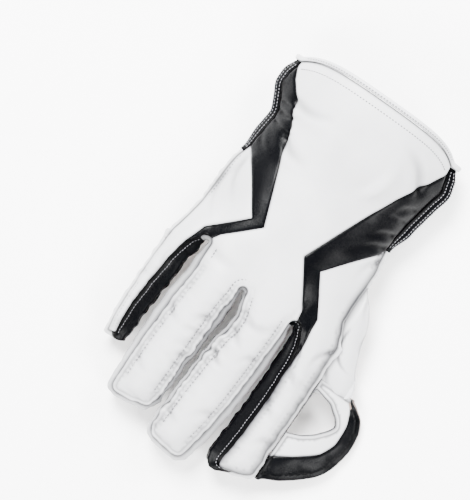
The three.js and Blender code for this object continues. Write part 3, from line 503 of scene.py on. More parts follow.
def tree_of(points):
    """A search tree of plan points."""
    tree = kdtree.KDTree(len(points))
    for k, p in enumerate(points):
        tree.insert((p[0], p[1], 0), k)
    tree.balance()
    return tree


def distances_to(points, tree):
    """Every point's distance to the nearest point of a tree."""
    return np.array([tree.find((p[0], p[1], 0))[2] for p in points])


RINGS = (0.45, 1.0, 1.8, 3.0)


def cut_sheet(outline, seams, areas, grid=2.0, holes=()):
    """Triangulates an outline with seam lines in it, and sorts the triangles by area.

    Gives the plan points, each area's triangles, and the distances of every point to
    the outline and to the nearest seam.
    """
    border = resample(outline, 1.1, closed=True)
    inner_rings = [resample(h, 1.0, closed=True) for h in holes]
    lines = [resample(s, 1.1) for s in seams]
    kept = [border] + inner_rings + lines
    line_points = np.vstack(kept)
    tree = tree_of(line_points)
    extra = []
    for k, line in enumerate(kept):
        for ring, d in side_rings(line, RINGS, k <= len(inner_rings)):
            extra.append(ring[distances_to(ring, tree) > d * 0.93])
    low, high = border.min(axis=0), border.max(axis=0)
    rows = np.arange(low[1], high[1], grid * 0.866)
    field = []
    for k, y in enumerate(rows):
        row_x = np.arange(low[0] + (k % 2) * grid / 2, high[0], grid)
        field.append(np.column_stack([row_x, np.full_like(row_x, y)]))
    field = np.vstack(field)
    field = field[distances_to(field, tree) > RINGS[-1] + grid * 0.35]
    spare = np.vstack(extra + [field])
    spare = spare[inside(spare, border)]
    for hole in inner_rings:
        spare = spare[~inside(spare, hole)]
    edges, start = [], 0
    for k, line in enumerate(kept):
        n = len(line)
        last = n if k <= len(inner_rings) else n - 1
        edges += [(start + i, start + (i + 1) % n) for i in range(last)]
        start += n
    cloud = [Vector(p) for p in np.vstack([line_points, spare])]
    verts, _, faces, *_ = geometry.delaunay_2d_cdt(cloud, edges, [], 0, 1e-5)
    points = np.array([v[:] for v in verts])
    faces = np.array([f[:] for f in faces])
    centres = points[faces].mean(axis=1)
    good = inside(centres, border)
    for hole in inner_rings:
        good &= ~inside(centres, hole)
    faces, centres = faces[good], centres[good]
    sorted_faces = {name: faces[inside(centres, area)] for name, area in areas.items()}
    edge_tree = tree_of(np.vstack([border] + inner_rings))
    to_edge = distances_to(points, edge_tree)
    to_seam = np.full(len(points), 99.0)
    if lines:
        to_seam = distances_to(points, tree_of(np.vstack(lines)))
    return points, sorted_faces, to_edge, to_seam


def loose_noise(p, scale, seed=0.0):
    """Smooth noise over plan points, from about -1 to 1."""
    return np.array([noise.noise(Vector((q[0] / scale, q[1] / scale, seed))) for q in p])


def normals_of(height, x, y, step=0.4):
    """Upward normals of a height over the plan."""
    dx = (height(x + step, y) - height(x - step, y)) / (2 * step)
    dy = (height(x, y + step) - height(x, y - step)) / (2 * step)
    n = np.column_stack([-dx, -dy, np.ones_like(dx)])
    return n / np.linalg.norm(n, axis=1)[:, None]


# Making mesh pieces
def mesh_piece(name, points, faces, material, shade=None):
    """A mesh piece from plan millimetres, moved into the frame and shaded smooth."""
    mesh = bpy.data.meshes.new(name)
    placed = (np.asarray(points, float) + SHIFT) / 1000
    mesh.from_pydata(placed.tolist(), [], [list(map(int, f)) for f in faces])
    mesh.validate()
    if shade is not None:
        layer = mesh.attributes.new("seam_shade", "FLOAT", "POINT")
        layer.data.foreach_set("value", np.asarray(shade, np.float32))
    mesh.polygons.foreach_set("use_smooth", [True] * len(mesh.polygons))
    mesh.update()
    obj = bpy.data.objects.new(name, mesh)
    bpy.context.scene.collection.objects.link(obj)
    mesh.materials.append(material)
    return obj


def finish_piece(obj, nodes):
    """Ties a piece to its body and hides the plain solids that it replaces."""
    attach(obj, "root")
    if nodes:
        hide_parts(*nodes)


def shell_piece(name, plan, faces, top, normal, thickness, material, shade):
    """A panel with a thickness: its face, its turned edge and its inner side."""
    used = np.unique(faces)
    index = np.full(len(plan), -1)
    index[used] = np.arange(len(used))
    faces = index[faces]
    outer = top[used]
    inner = outer - normal[used] * thickness
    n = len(used)
    a, b, c = outer[faces[:, 0]], outer[faces[:, 1]], outer[faces[:, 2]]
    facing = np.einsum("ij,ij->i", np.cross(b - a, c - a), normal[used][faces[:, 0]])
    faces = np.where((facing < 0)[:, None], faces[:, ::-1], faces)
    sides = {(f[i], f[(i + 1) % 3]): True for f in faces for i in range(3)}
    rim = [(i, j) for i, j in sides if (j, i) not in sides]
    walls = [(j, i, i + n, j + n) for i, j in rim]
    every = [tuple(f) for f in faces] + [tuple(f[::-1] + n) for f in faces] + walls
    # the painted shade, on the face and on the inner side
    shade_both_sides = np.concatenate([shade[used], shade[used]])
    return mesh_piece(name, np.vstack([outer, inner]), every, material, shade_both_sides)


def lattice_piece(name, outer, inner, material, shade):
    """A closed band between two lattices of points of the same size."""
    rows, cols = outer.shape[:2]
    half = rows * cols
    faces = []
    for i in range(rows - 1):
        first, second = i * cols, (i + 1) * cols
        for j in range(cols - 1):
            a, b, c, d = first + j, first + j + 1, second + j + 1, second + j
            faces += [(a, b, c, d), (half + d, half + c, half + b, half + a)]
        faces.append((half + first, first, second, half + second))
        first, second = first + cols - 1, second + cols - 1
        faces.append((first, half + first, half + second, second))
    for i, turn in ((0, 1), (rows - 1, -1)):
        for j in range(cols - 1):
            k = i * cols + j
            faces.append((k, half + k, half + k + 1, k + 1)[::turn])
    points = np.vstack([outer.reshape(-1, 3), inner.reshape(-1, 3)])
    obj = mesh_piece(name, points, faces, material, np.tile(shade.ravel(), 2))
    bpy.context.view_layer.objects.active = obj
    obj.select_set(True)
    bpy.ops.object.mode_set(mode="EDIT")
    bpy.ops.mesh.select_all(action="SELECT")
    bpy.ops.mesh.normals_make_consistent(inside=False)
    bpy.ops.object.mode_set(mode="OBJECT")
    obj.select_set(False)
    return obj


# Stitches
THREADS = {"thread_white": [], "thread_grey": []}


def along_line(s, reach, values):
    """The point or the direction at a length along a line."""
    return np.array([np.interp(s, reach, values[:, k]) for k in range(3)])


def add_stitches(points, normals, thread, pitch, length, thick, lift=0.05):
    """Short rounded stitches along a 3-D line, half sunk into the leather."""
    points = np.asarray(points, float)
    span = np.linalg.norm(np.diff(points, axis=0), axis=1)
    reach = np.concatenate([[0], np.cumsum(span)])
    if reach[-1] < pitch:
        return
    for s in np.arange(pitch / 2, reach[-1] - pitch / 2, pitch):
        places = (s - length / 2, s, s + length / 2)
        start, middle, end = [along_line(t, reach, points) for t in places]
        up = along_line(s, reach, normals)
        up /= np.linalg.norm(up)
        THREADS[thread].append((start + up * (lift - thick), middle + up * (lift + thick * 0.5),
                                end + up * (lift - thick), up, thick))


STITCH_SIDES = 6


def stitch_rings(start, middle, end, up, thick):
    """The centres and widths of a stitch's five rings."""
    rise = up * thick * 0.25
    return ((start, 0.35), (start * 0.72 + middle * 0.28 + rise, 0.85), (middle, 1.0),
            (end * 0.72 + middle * 0.28 + rise, 0.85), (end, 0.35))


def build_stitches(materials):
    """All the stitches of one thread as one mesh of small bent capsules."""
    for thread, stitches in THREADS.items():
        verts, faces = [], []
        for start, middle, end, up, thick in stitches:
            way = end - start
            side = np.cross(way / max(np.linalg.norm(way), 1e-9), up)
            rings = []
            for centre, width in stitch_rings(start, middle, end, up, thick):
                rings.append([len(verts) + k for k in range(STITCH_SIDES)])
                for k in range(STITCH_SIDES):
                    angle = k * 2 * math.pi / STITCH_SIDES
                    out = side * math.cos(angle) + up * math.sin(angle) * 0.8
                    verts.append(centre + out * thick * width)
            for low, high in zip(rings, rings[1:]):
                for k in range(STITCH_SIDES):
                    n = (k + 1) % STITCH_SIDES
                    faces.append((low[k], low[n], high[n], high[k]))
            faces += [tuple(rings[0][::-1]), tuple(rings[-1])]
        obj = mesh_piece("stitches_" + thread.split("_")[1], verts, faces, materials[thread])
        finish_piece(obj, None)


# Material tools
def new_group(name, scale, outputs):
    """An effect with one input, its scale, and some heights or masks as outputs."""
    group = bpy.data.node_groups.new(name, "ShaderNodeTree")
    socket = group.interface.new_socket("Scale", in_out="INPUT", socket_type="NodeSocketFloat")
    socket.default_value = scale
    for label in outputs:
        group.interface.new_socket(label, in_out="OUTPUT", socket_type="NodeSocketFloat")
    return group, group.nodes.new("NodeGroupInput"), group.nodes.new("NodeGroupOutput")


def node(tree, kind, **values):
    """A shader node with its settings and its sockets' values."""
    made = tree.nodes.new(kind)
    for key, value in values.items():
        if hasattr(made, key):
            setattr(made, key, value)
        else:
            made.inputs[key.replace("_", " ")].default_value = value
    return made


def math_node(tree, operation, a, b=None, clamp=False):
    """A Math node's output; a and b are numbers or other outputs."""
    made = tree.nodes.new("ShaderNodeMath")
    made.operation = operation
    made.use_clamp = clamp
    for k, value in enumerate((a, b)):
        if isinstance(value, (int, float)):
            made.inputs[k].default_value = value
        elif value is not None:
            tree.links.new(value, made.inputs[k])
    return made.outputs[0]


def multiply(tree, a, b):
    return math_node(tree, "MULTIPLY", a, b)


def on_object(tree, *textures):
    """Lays textures on the piece's own coordinates, in metres."""
    coords = tree.nodes.new("ShaderNodeTexCoord").outputs["Object"]
    for texture in textures:
        tree.links.new(coords, texture.inputs["Vector"])
    return coords


def grain_group():
    """Leather grain: small cells and fine pores, and a mask of the hollows between them."""
    group, source, result = new_group("leather_grain", 900.0, ["Height", "Hollow"])
    warp = node(group, "ShaderNodeTexNoise", Scale=60.0, Detail=3.0)
    shift = group.nodes.new("ShaderNodeVectorMath")
    shift.operation = "MULTIPLY_ADD"
    shift.inputs[1].default_value = (0.004, 0.004, 0.004)
    cells = node(group, "ShaderNodeTexVoronoi", feature="DISTANCE_TO_EDGE")
    pores = node(group, "ShaderNodeTexNoise", Scale=2600.0, Detail=2.0)
    coords = on_object(group, warp, pores)
    group.links.new(warp.outputs["Color"], shift.inputs[0])
    group.links.new(coords, shift.inputs[2])
    group.links.new(shift.outputs[0], cells.inputs["Vector"])
    group.links.new(source.outputs["Scale"], cells.inputs["Scale"])
    edge = group.nodes.new("ShaderNodeMapRange")
    edge.inputs["From Max"].default_value = 0.12
    group.links.new(cells.outputs["Distance"], edge.inputs["Value"])
    total = math_node(group, "ADD", edge.outputs[0], multiply(group, pores.outputs[0], 0.45))
    hollow = math_node(group, "SUBTRACT", 1.0, edge.outputs[0], clamp=True)
    group.links.new(total, result.inputs["Height"])
    group.links.new(hollow, result.inputs["Hollow"])
    return group


def creases_group():
    """Soft wrinkles: broad undulations and a few sharper lines."""
    group, source, result = new_group("soft_creases", 40.0, ["Height"])
    waves = node(group, "ShaderNodeTexNoise", Detail=3.0, Roughness=0.5, Distortion=0.25)
    lines = node(group, "ShaderNodeTexNoise", Detail=2.0, Distortion=1.2)
    on_object(group, waves, lines)
    group.links.new(source.outputs["Scale"], waves.inputs["Scale"])
    group.links.new(multiply(group, source.outputs["Scale"], 2.3), lines.inputs["Scale"])
    centred = math_node(group, "ABSOLUTE", math_node(group, "SUBTRACT", lines.outputs[0], 0.5))
    sharp = math_node(group, "MINIMUM", multiply(group, centred, 9.0), 1.0)
    total = math_node(group, "ADD", waves.outputs[0], multiply(group, sharp, 0.1))
    group.links.new(total, result.inputs["Height"])
    return group


def wear_and_shade_group():
    """Blotches of wear, and the painted shade held in the seam_shade attribute: dark along seams,
    edges, folds and slits.
    """
    group, source, result = new_group("wear_and_painted_shade", 30.0, ["Blotch", "Seam"])
    blotch = node(group, "ShaderNodeTexNoise", Detail=6.0, Roughness=0.62)
    on_object(group, blotch)
    group.links.new(source.outputs["Scale"], blotch.inputs["Scale"])
    near = group.nodes.new("ShaderNodeAttribute")
    near.attribute_name = "seam_shade"
    spread = group.nodes.new("ShaderNodeMapRange")
    spread.inputs["From Min"].default_value = 0.35
    spread.inputs["From Max"].default_value = 0.7
    group.links.new(blotch.outputs[0], spread.inputs["Value"])
    group.links.new(spread.outputs[0], result.inputs["Blotch"])
    group.links.new(near.outputs["Fac"], result.inputs["Seam"])
    return group


def pimple_group():
    """Rubber facing: rows of small raised pimples, with a painted highlight on their tops."""
    group, source, result = new_group("rubber_pimples", 620.0, ["Height", "Top"])
    dots = node(group, "ShaderNodeTexVoronoi", feature="F1", Randomness=0.35)
    rough = node(group, "ShaderNodeTexNoise", Scale=900.0, Detail=3.0)
    on_object(group, dots, rough)
    group.links.new(source.outputs["Scale"], dots.inputs["Scale"])
    top = group.nodes.new("ShaderNodeMapRange")
    top.inputs["From Min"].default_value = 0.5
    top.inputs["From Max"].default_value = 0.12
    group.links.new(dots.outputs["Distance"], top.inputs["Value"])
    total = math_node(group, "ADD", top.outputs[0], multiply(group, rough.outputs[0], 0.3))
    # painted highlight on the pimples' tops
    pale = math_node(group, "MULTIPLY", top.outputs[0], rough.outputs[0], clamp=True)
    group.links.new(total, result.inputs["Height"])
    group.links.new(pale, result.inputs["Top"])
    return group


GROUPS = {}


def blend_colour(tree, factor, a, b):
    """From colour a to colour b; each value is a constant or another node's output."""
    mixer = tree.nodes.new("ShaderNodeMix")
    mixer.data_type = "RGBA"
    for socket, value in ((mixer.inputs[0], factor), (mixer.inputs[6], a), (mixer.inputs[7], b)):
        if isinstance(value, (tuple, list, float, int)):
            socket.default_value = value
        else:
            tree.links.new(value, socket)
    return mixer.outputs[2]


def placed_group(tree, name, scale):
    """One of the effects, placed in a material."""
    made = tree.nodes.new("ShaderNodeGroup")
    made.node_tree = GROUPS[name]
    made.inputs["Scale"].default_value = scale
    return made


def new_material(name):
    """A material, its node tree and its surface shader."""
    material = bpy.data.materials.new(name)
    material.use_nodes = True
    tree = material.node_tree
    return material, tree, tree.nodes["Principled BSDF"]


def leather(name, colour, shaded, painted_shade_colour, rough, crease=0.0006, coat=0.08, specular=0.4):
    """Coated leather: grain and creases in the bump; blotches of wear and painted shade at the
    seams, edges and folds in the colour.
    """
    material, tree, shader = new_material(name)
    grains = placed_group(tree, "leather_grain", 1100.0)
    folds = placed_group(tree, "soft_creases", 45.0)
    wear_and_shade = placed_group(tree, "wear_and_painted_shade", 28.0)
    blotch, hollow = wear_and_shade.outputs["Blotch"], grains.outputs["Hollow"]
    base = blend_colour(tree, multiply(tree, blotch, 0.55), colour, shaded)
    base = blend_colour(tree, multiply(tree, hollow, 0.18), base, shaded)
    # painted shade: towards painted_shade_colour where the seam_shade attribute is high
    base = blend_colour(tree, wear_and_shade.outputs["Seam"], base, painted_shade_colour)
    tree.links.new(base, shader.inputs["Base Color"])
    gloss = math_node(tree, "ADD", multiply(tree, blotch, 0.14), rough)
    gloss = math_node(tree, "ADD", gloss, multiply(tree, hollow, 0.12), clamp=True)
    tree.links.new(gloss, shader.inputs["Roughness"])
    broad = node(tree, "ShaderNodeBump", Strength=0.5, Distance=crease)
    tree.links.new(folds.outputs["Height"], broad.inputs["Height"])
    fine = node(tree, "ShaderNodeBump", Strength=0.45, Distance=0.00004)
    tree.links.new(grains.outputs["Height"], fine.inputs["Height"])
    tree.links.new(broad.outputs["Normal"], fine.inputs["Normal"])
    tree.links.new(fine.outputs["Normal"], shader.inputs["Normal"])
    shader.inputs["Coat Weight"].default_value = coat
    shader.inputs["Coat Roughness"].default_value = 0.25
    shader.inputs["Specular IOR Level"].default_value = specular
    return material


def rubber_facing():
    """Mottled pimpled rubber, with a painted highlight on the pimples' tops and painted shade at
    its seams and edges.
    """
    material, tree, shader = new_material("palm_rubber")
    dots = placed_group(tree, "rubber_pimples", 620.0)
    wear_and_shade = placed_group(tree, "wear_and_painted_shade", 40.0)
    blotch, seam = wear_and_shade.outputs["Blotch"], multiply(tree, wear_and_shade.outputs["Seam"], 0.6)
    base = blend_colour(tree, blotch, (0.15, 0.105, 0.088, 1), (0.2, 0.15, 0.128, 1))
    base = blend_colour(tree, dots.outputs["Top"], base, (0.46, 0.4, 0.37, 1))
    # painted shade at the seams and edges
    base = blend_colour(tree, seam, base, (0.05, 0.036, 0.03, 1))
    tree.links.new(base, shader.inputs["Base Color"])
    rough = math_node(tree, "ADD", multiply(tree, blotch, 0.12), 0.68)
    tree.links.new(rough, shader.inputs["Roughness"])
    lumps = node(tree, "ShaderNodeBump", Strength=0.7, Distance=0.0005)
    tree.links.new(dots.outputs["Height"], lumps.inputs["Height"])
    tree.links.new(lumps.outputs["Normal"], shader.inputs["Normal"])
    return material


def thread_material(name, colour, dark):
    """Twisted sewing thread."""
    material, tree, shader = new_material(name)
    twist = node(tree, "ShaderNodeTexNoise", Scale=1800.0, Detail=2.0)
    on_object(tree, twist)
    tree.links.new(blend_colour(tree, twist.outputs[0], colour, dark), shader.inputs["Base Color"])
    ridge = node(tree, "ShaderNodeBump", Strength=0.5, Distance=0.0001)
    tree.links.new(twist.outputs[0], ridge.inputs["Height"])
    tree.links.new(ridge.outputs["Normal"], shader.inputs["Normal"])
    shader.inputs["Roughness"].default_value = 0.7
    return material


def make_materials():
    """The glove's finishes: a colour, a shaded colour, the colour of the painted shade at seams,
    edges and folds, a roughness.
    """
    GROUPS.update({"leather_grain": grain_group(), "soft_creases": creases_group(),
                   "wear_and_painted_shade": wear_and_shade_group(), "rubber_pimples": pimple_group()})
    white_painted_shade = (0.02, 0.02, 0.023, 1)
    return {
        "white": leather("white_leather", (0.46, 0.462, 0.472, 1), (0.38, 0.382, 0.395, 1),
                         white_painted_shade, 0.42),
        # the white leather of the walls between the fingers, painted darker as shade
        "white_in_painted_shade": leather("gusset_white_painted_shade", (0.36, 0.362, 0.372, 1), (0.27, 0.272, 0.282, 1),
                               white_painted_shade, 0.5, crease=0.0012, coat=0.05),
        "black": leather("black_leather", (0.0005, 0.0006, 0.0009, 1), (0.0011, 0.0012, 0.0017, 1),
                         (0.0002, 0.0002, 0.0003, 1), 0.2, crease=0.0004, coat=0.0, specular=0.05),
        "rubber": rubber_facing(),
        "thread_white": thread_material("thread_white", (0.2, 0.2, 0.21, 1), (0.1, 0.1, 0.11, 1)),
        # grey thread, darkened as painted shade of the stitch holes
        "thread_grey": thread_material(
            "thread_grey", (0.11, 0.11, 0.12, 1), (0.06, 0.06, 0.066, 1)),
    }


LOOK = {
    "back_centre": "white", "stripe_thumb": "black", "stripe_little": "black",
    "back_index": "white", "back_little": "white", "cuff_palm": "white",
    "cuff_palm_wedge": "black", "wrist_band": "black", "palm_heel": "white",
    "palm_facing": "rubber", "web_trim": "black", "web_panel": "white",
}


# Back and palm panels
def trimmed(line, outline):
    """The part of a seam line that lies inside an outline."""
    fine = resample(line, 0.5)
    ids = np.flatnonzero(inside(fine, outline))
    return fine[ids[0]:ids[-1] + 1]


def finger_folds(x, y):
    """Small cross wrinkles on the fingers' backs and creases beside the wrist."""
    points = np.column_stack([x, y])
    wave = loose_noise(points, 26, 3.1)
    small = loose_noise(points, 9, 7.7)
    fingers_only = bump(y, 165, 205, 262)
    ripples = np.sin(y * 0.62 + 5 * wave + x * 0.12) * np.clip(small + 0.15, 0, 1)
    ripples *= fingers_only * 0.8
    slack = loose_noise(points, 38, 1.3) * 1.3 + loose_noise(points, 17, 11.3) * 0.45
    return ripples + slack * bump(y, 6, 60, 300)


def gathered(x):
    """How far the leather is drawn up: 1 beside the middle slit, 0.3 far from it."""
    x = np.asarray(x, float)
    return 0.3 + 0.7 * ease((x + 22) / 12) * ease((40 - x) / 14)


def wobble(x, y, reach=1.0):
    """Small sideways waves along the fingers' sewn edges and along the thumb's seam."""
    x, y = np.asarray(x, float), np.asarray(y, float)
    points = np.column_stack([x, y])
    fingers = ease((y - 158) / 22) * gathered(x)
    thumb = ease((y - 88) / 22) * ease((-56 - x) / 4) * 0.6
    sideways = loose_noise(points, 8.5, 21.0) * 1.9 + loose_noise(points, 4.2, 25.0) * 0.7
    lengthways = loose_noise(points, 8.5, 31.0) * 0.8
    return np.column_stack([sideways, lengthways]) * (np.maximum(fingers, thumb) * reach)[:, None]


TUCKS = [  # from x, y to x, y, width, depth
    (54, 36, 26, 34, 4.5, 1.0), (46, 60, 24, 70, 5.0, 1.1),
    (63, 46, 44, 46, 2.0, 1.1), (62, 52, 40, 57, 1.8, 0.9),
    (64, 40, 48, 39, 1.7, 0.8), (62, 62, 50, 78, 2.2, 0.7), (-50, 38, -26, 20, 5.0, 1.1),
    (-22, 62, -26, 26, 6.0, -0.8), (-60, 72, -38, 84, 3.0, 1.0), (-58, 62, -40, 66, 2.0, 0.8),
    (-60, 82, -34, 98, 3.4, 0.9), (-56, 50, -44, 62, 2.4, 0.7), (-59, 90, -48, 112, 3.0, 0.8),
    (60, 86, 50, 118, 3.2, 0.9), (64, 100, 56, 134, 2.6, 0.8), (-66, 160, -56, 185, 2.8, 0.8),
    (44, 150, 20, 152, 6.0, 0.6), (-6, 178, -24, 172, 4.5, 0.8), (-2, 186, -14, 196, 3.2, 0.7),
    (1, 206, -8, 214, 2.6, 0.9), (-26, 196, -14, 204, 3.0, 0.6), (16, 190, 26, 198, 3.0, 0.7),
    (43, 196, 34, 206, 3.0, 0.7), (14, 222, 26, 226, 3.4, 0.5), (-50, 190, -62, 196, 3.2, 0.7),
    (-49, 214, -60, 224, 3.4, 0.6), (-66, 236, -54, 246, 3.4, 0.6), (42, 238, 30, 246, 3.0, 0.6),
    (-22, 244, -10, 252, 3.6, 0.5), (4, 256, -6, 262, 3.0, 0.6), (66, 168, 62, 184, 2.4, 0.5),
]


THUMB_TUCKS = [(-66, 144, -71, 160, 1.5, 0.9), (-69, 161, -84, 168, 1.6, 0.9),
               (-78, 140, -84, 156, 1.8, 0.5),
               (-70, 176, -82, 184, 2.2, 0.5), (-66, 112, -70, 132, 1.8, 0.6)]


def tucks(x, y, table=TUCKS):
    """Folds of the slack leather, each along a short line and fading at its ends."""
    total = np.zeros_like(x)
    for x0, y0, x1, y1, width, depth in table:
        dx, dy = x1 - x0, y1 - y0
        length = math.hypot(dx, dy)
        t = ((x - x0) * dx + (y - y0) * dy) / length**2
        bend = 0.12 * length * np.sin(t * math.pi)
        side = (((x - x0) * dy - (y - y0) * dx) / length - bend) / width
        section = (1 - 1.1 * side**2) * np.exp(-side**2)
        total -= 1.8 * depth * bump(t, -0.25, 0.15, 1.2) * section
    return total


# Lines along the sewn edges of the back, as distances from the edge
RIDGE_IN, VALLEY_IN, SEWN_IN = 1.3, 2.9, 5.4
THUMB_SEWN_IN = 3.6
MIDDLE_SLIT_X = 10
MIDDLE_ROW_END, RING_ROW_END = 266, 252


def row_end(x):
    """Y where the sewn rows stop, short of the middle and the ring fingertip."""
    return np.where(x < MIDDLE_SLIT_X, MIDDLE_ROW_END, RING_ROW_END)


def back_panels(materials):
    """The back's five panels: padded, tucked, drawn up at the slits and rolled at their edges."""
    outline = comb_outline("back")
    seams = []
    for side, finger, slit_at in (("thumb", "index", slit("index")),
                                  ("little", "little", slit("ring"))):
        seams.append([plan_point(*p) for p in CENTRE_EDGE[side]] + [slit_at])
        seams.append([plan_point(*p) for p in OUTER_EDGE[side]] + strip_edge(finger, True))
    lines = [trimmed(line, outline) for line in seams]
    plan, faces, to_edge, to_seam = cut_sheet(outline, lines, back_areas())
    x, y = plan[:, 0], plan[:, 1]
    normal = normals_of(BACK, x, y)
    on_fingers = ease((y - 150) / 25)
    drawn = on_fingers * gathered(x)
    short = 1 - ease((y - row_end(x)) / 8)
    ripple = loose_noise(plan, 6.5, 41.0) * 0.9 + loose_noise(plan, 3.4, 45.0) * 0.35
    gathers = loose_noise(np.column_stack([x / 5, y]), 3.3, 51.0) * hill(to_edge, 0, 8) * drawn
    folds = tucks(x, y)
    loose = finger_folds(x, y)
    beside_thumb_row = 0.6 * on_fingers * (x > -42)
    lift = loose * np.clip(to_edge / 6, 0.2, 1) + folds * np.clip(to_edge / 4, 0.25, 1)
    lift += (
        (1 - hill(np.maximum(to_edge - SEWN_IN, 0), 0, 5.0)) * 1.1 * on_fingers  # padding
        + (1 - hill(to_seam, 0, 5.0)) * 0.4
        + hill(to_edge, RIDGE_IN, 0.8) * 0.55 * on_fingers
        + ripple * hill(to_edge, 0, 4.5) * drawn
        + gathers * 1.1
        - hill(to_edge, VALLEY_IN, 0.8) * 0.45 * on_fingers
        - hill(to_edge, SEWN_IN, 1.0) * 0.75 * short * np.maximum(drawn, beside_thumb_row)
        - hill(to_edge, 0, 0.6) * 1.3  # turned edge
        - hill(to_seam, 0, 0.7) * 0.6)  # sunken seam
    top = np.column_stack([x, y, BACK(x, y)]) + normal * lift[:, None]
    top[:, :2] += wobble(x, y, hill(to_edge, 0, 5.0))
    # Painted shade: dark lines at the seams and turned edges, a wider painted shadow along the
    # thumb's seam, lines in the sewn grooves, and shade in the folds, gathers and slack wrinkles
    thumb_seam = ease((y - 80) / 10) * ease((-40 - x) / 8)
    sewn = on_fingers * ease((x + 40) / 6) * ease((56 - x) / 6)
    groove_shade = hill(to_edge, VALLEY_IN, 0.7) * 0.55 + short * hill(to_edge, SEWN_IN, 0.8) * 0.5
    shade = (hill(to_seam, 0, 0.8) * 0.5 + hill(to_edge, 0, 1.15) * 1.2
             + thumb_seam * (hill(to_edge, 0, 2.1) * 1.4 + hill(to_edge, THUMB_SEWN_IN, 0.7) * 0.55)
             + sewn * groove_shade + np.clip(-folds * 0.24, 0, 0.4)
             + np.clip(-gathers * 0.6, 0, 0.25) + np.clip(-loose * 0.16, 0, 0.24))
    shade = np.clip(shade, 0, 1)
    for name, part in faces.items():
        look = LOOK[name]
        obj = shell_piece(name + "_leather", plan, part, top, normal, LEATHER,
                          materials[look], shade)
        finish_piece(obj, [name])


def palm_panels(materials):
    """The palm side's panels, pressed flat where they touch the table."""
    outline = comb_outline("palm")
    areas = palm_areas()
    seams = [areas["cuff_palm_wedge"][:3], areas["wrist_band"][2:], areas["palm_heel"][2:],
             areas["wrist_band"][:2]]
    lines = [trimmed(line, outline) for line in seams]
    plan, faces, to_edge, to_seam = cut_sheet(outline, lines, areas)
    x, y = plan[:, 0], plan[:, 1]
    up = normals_of(PALM, x, y)
    z = PALM(x, y)
    dents = loose_noise(plan, 30, 5.5) * 0.7 * ease((y - 120) / 30)
    lift = hill(to_edge, 0, 0.8) * 0.9 + hill(to_seam, 0, 0.8) * 0.8
    lift += dents * np.clip(z / 3, 0, 1) * np.clip(to_edge / 6, 0, 1)
    top = np.column_stack([x, y, np.maximum(z, FLOOR_GAP)]) + up * lift[:, None]
    top[:, 2] = np.maximum(top[:, 2], FLOOR_GAP)
    # painted shade along the seams and the edges
    shade = np.clip(hill(to_seam, 0, 0.9) * 0.7 + hill(to_edge, 0, 0.8) * 0.5, 0, 1)
    for name, part in faces.items():
        look = LOOK[name]
        thick = RUBBER if look == "rubber" else LEATHER
        obj = shell_piece(name + "_skin", plan, part, top, -up, thick, materials[look], shade)
        finish_piece(obj, [name])


# Walls round the edge
def way_round():
    """Every stop round the glove's edge: finger, share across, and a row."""
    hand_rows = list(np.linspace(0, 1.9, 110)) + list(np.linspace(1.905, FREE_FROM, 15))
    tip_rows = [("tip", t) for t in (1 - (1 - np.linspace(0, 1, 56)) ** 1.8) * 0.9985]
    stops = []
    for k, finger in enumerate(FINGERS):
        start = 0 if k == 0 else CROTCH[FINGERS[k - 1]]
        end = 0 if k == 3 else CROTCH[finger]
        low = [("row", a) for a in hand_rows if a >= start - 1e-6]
        high = [("row", a) for a in hand_rows if a >= end - 1e-6]
        stops += [(finger, -1.0, row, "low") for row in low + tip_rows[:-1]]
        stops += [(finger, share, tip_rows[-1], "tip") for share in np.linspace(-1, 1, 5)]
        stops += [(finger, 1.0, row, "high") for row in (high + tip_rows[:-1])[::-1]]
        if k < 3:
            stops += [(finger, 1.0, ("slit", i), "slit") for i in range(SLIT_STOPS)]
    return stops


def surface_stop(finger, kind, x, y):
    """A plan point on the back, on the palm side or midway between them."""
    back, palm = float(back_on(x, y, finger)), float(palm_on(x, y, finger))
    return np.array([x, y, {"back": back, "palm": palm, "wide": (back + palm) / 2}[kind]])


def stop_point(finger, share, row, kind):
    """Where a stop lies on the back's edge, on the palm's edge or between them."""
    where, value = row
    if where == "slit":
        x, base = slit_end(finger, kind)[value]
        return surface_stop(finger, kind, float(x), float(base))
    if where == "row":
        base = place(value)
    else:
        start = place(FREE_FROM)
        base = start + (tip_y(finger, kind) - start) * value
    x = float(line_x(finger, share, kind, base))
    point = surface_stop(finger, kind, x, float(rim_y(x, base)))
    point[1] += float(leant(finger, kind, x, base)) - base
    return point


def left_normals(points):
    """Plan directions to the left of a line, evened out between neighbours."""
    p = np.asarray(points)[:, :2]
    t = np.vstack([p[1:2] - p[:1], p[2:] - p[:-2], p[-1:] - p[-2:-1]])
    t = t / np.maximum(np.hypot(*t.T), 1e-9)[:, None]
    n = np.column_stack([-t[:, 1], t[:, 0]])
    soft = n.copy()
    for _ in range(3):
        soft[1:-1] = (soft[:-2] + soft[1:-1] * 2 + soft[2:]) / 4
    return soft / np.maximum(np.hypot(*soft.T), 1e-9)[:, None]


def welt_reach(stop):
    """How far the wall stands out at a stop: a welt beside the cuff, plain above the wrist."""
    finger, _, (where, value), side = stop
    if where != "row" or (finger, side) not in (("index", "low"), ("little", "high")):
        return PLAIN_REACH
    out = WELT["thumb"] if side == "low" else WELT["little"]
    out = out * (0.62 + 0.38 * float(ease(value / 0.16)))
    return out + (PLAIN_REACH - out) * float(ease((value - 0.82) / 0.25))


TUCKED_IN, TUCKED_UNDER = 0.4, 0.9  # how the walls' edges lie under the panels' edges


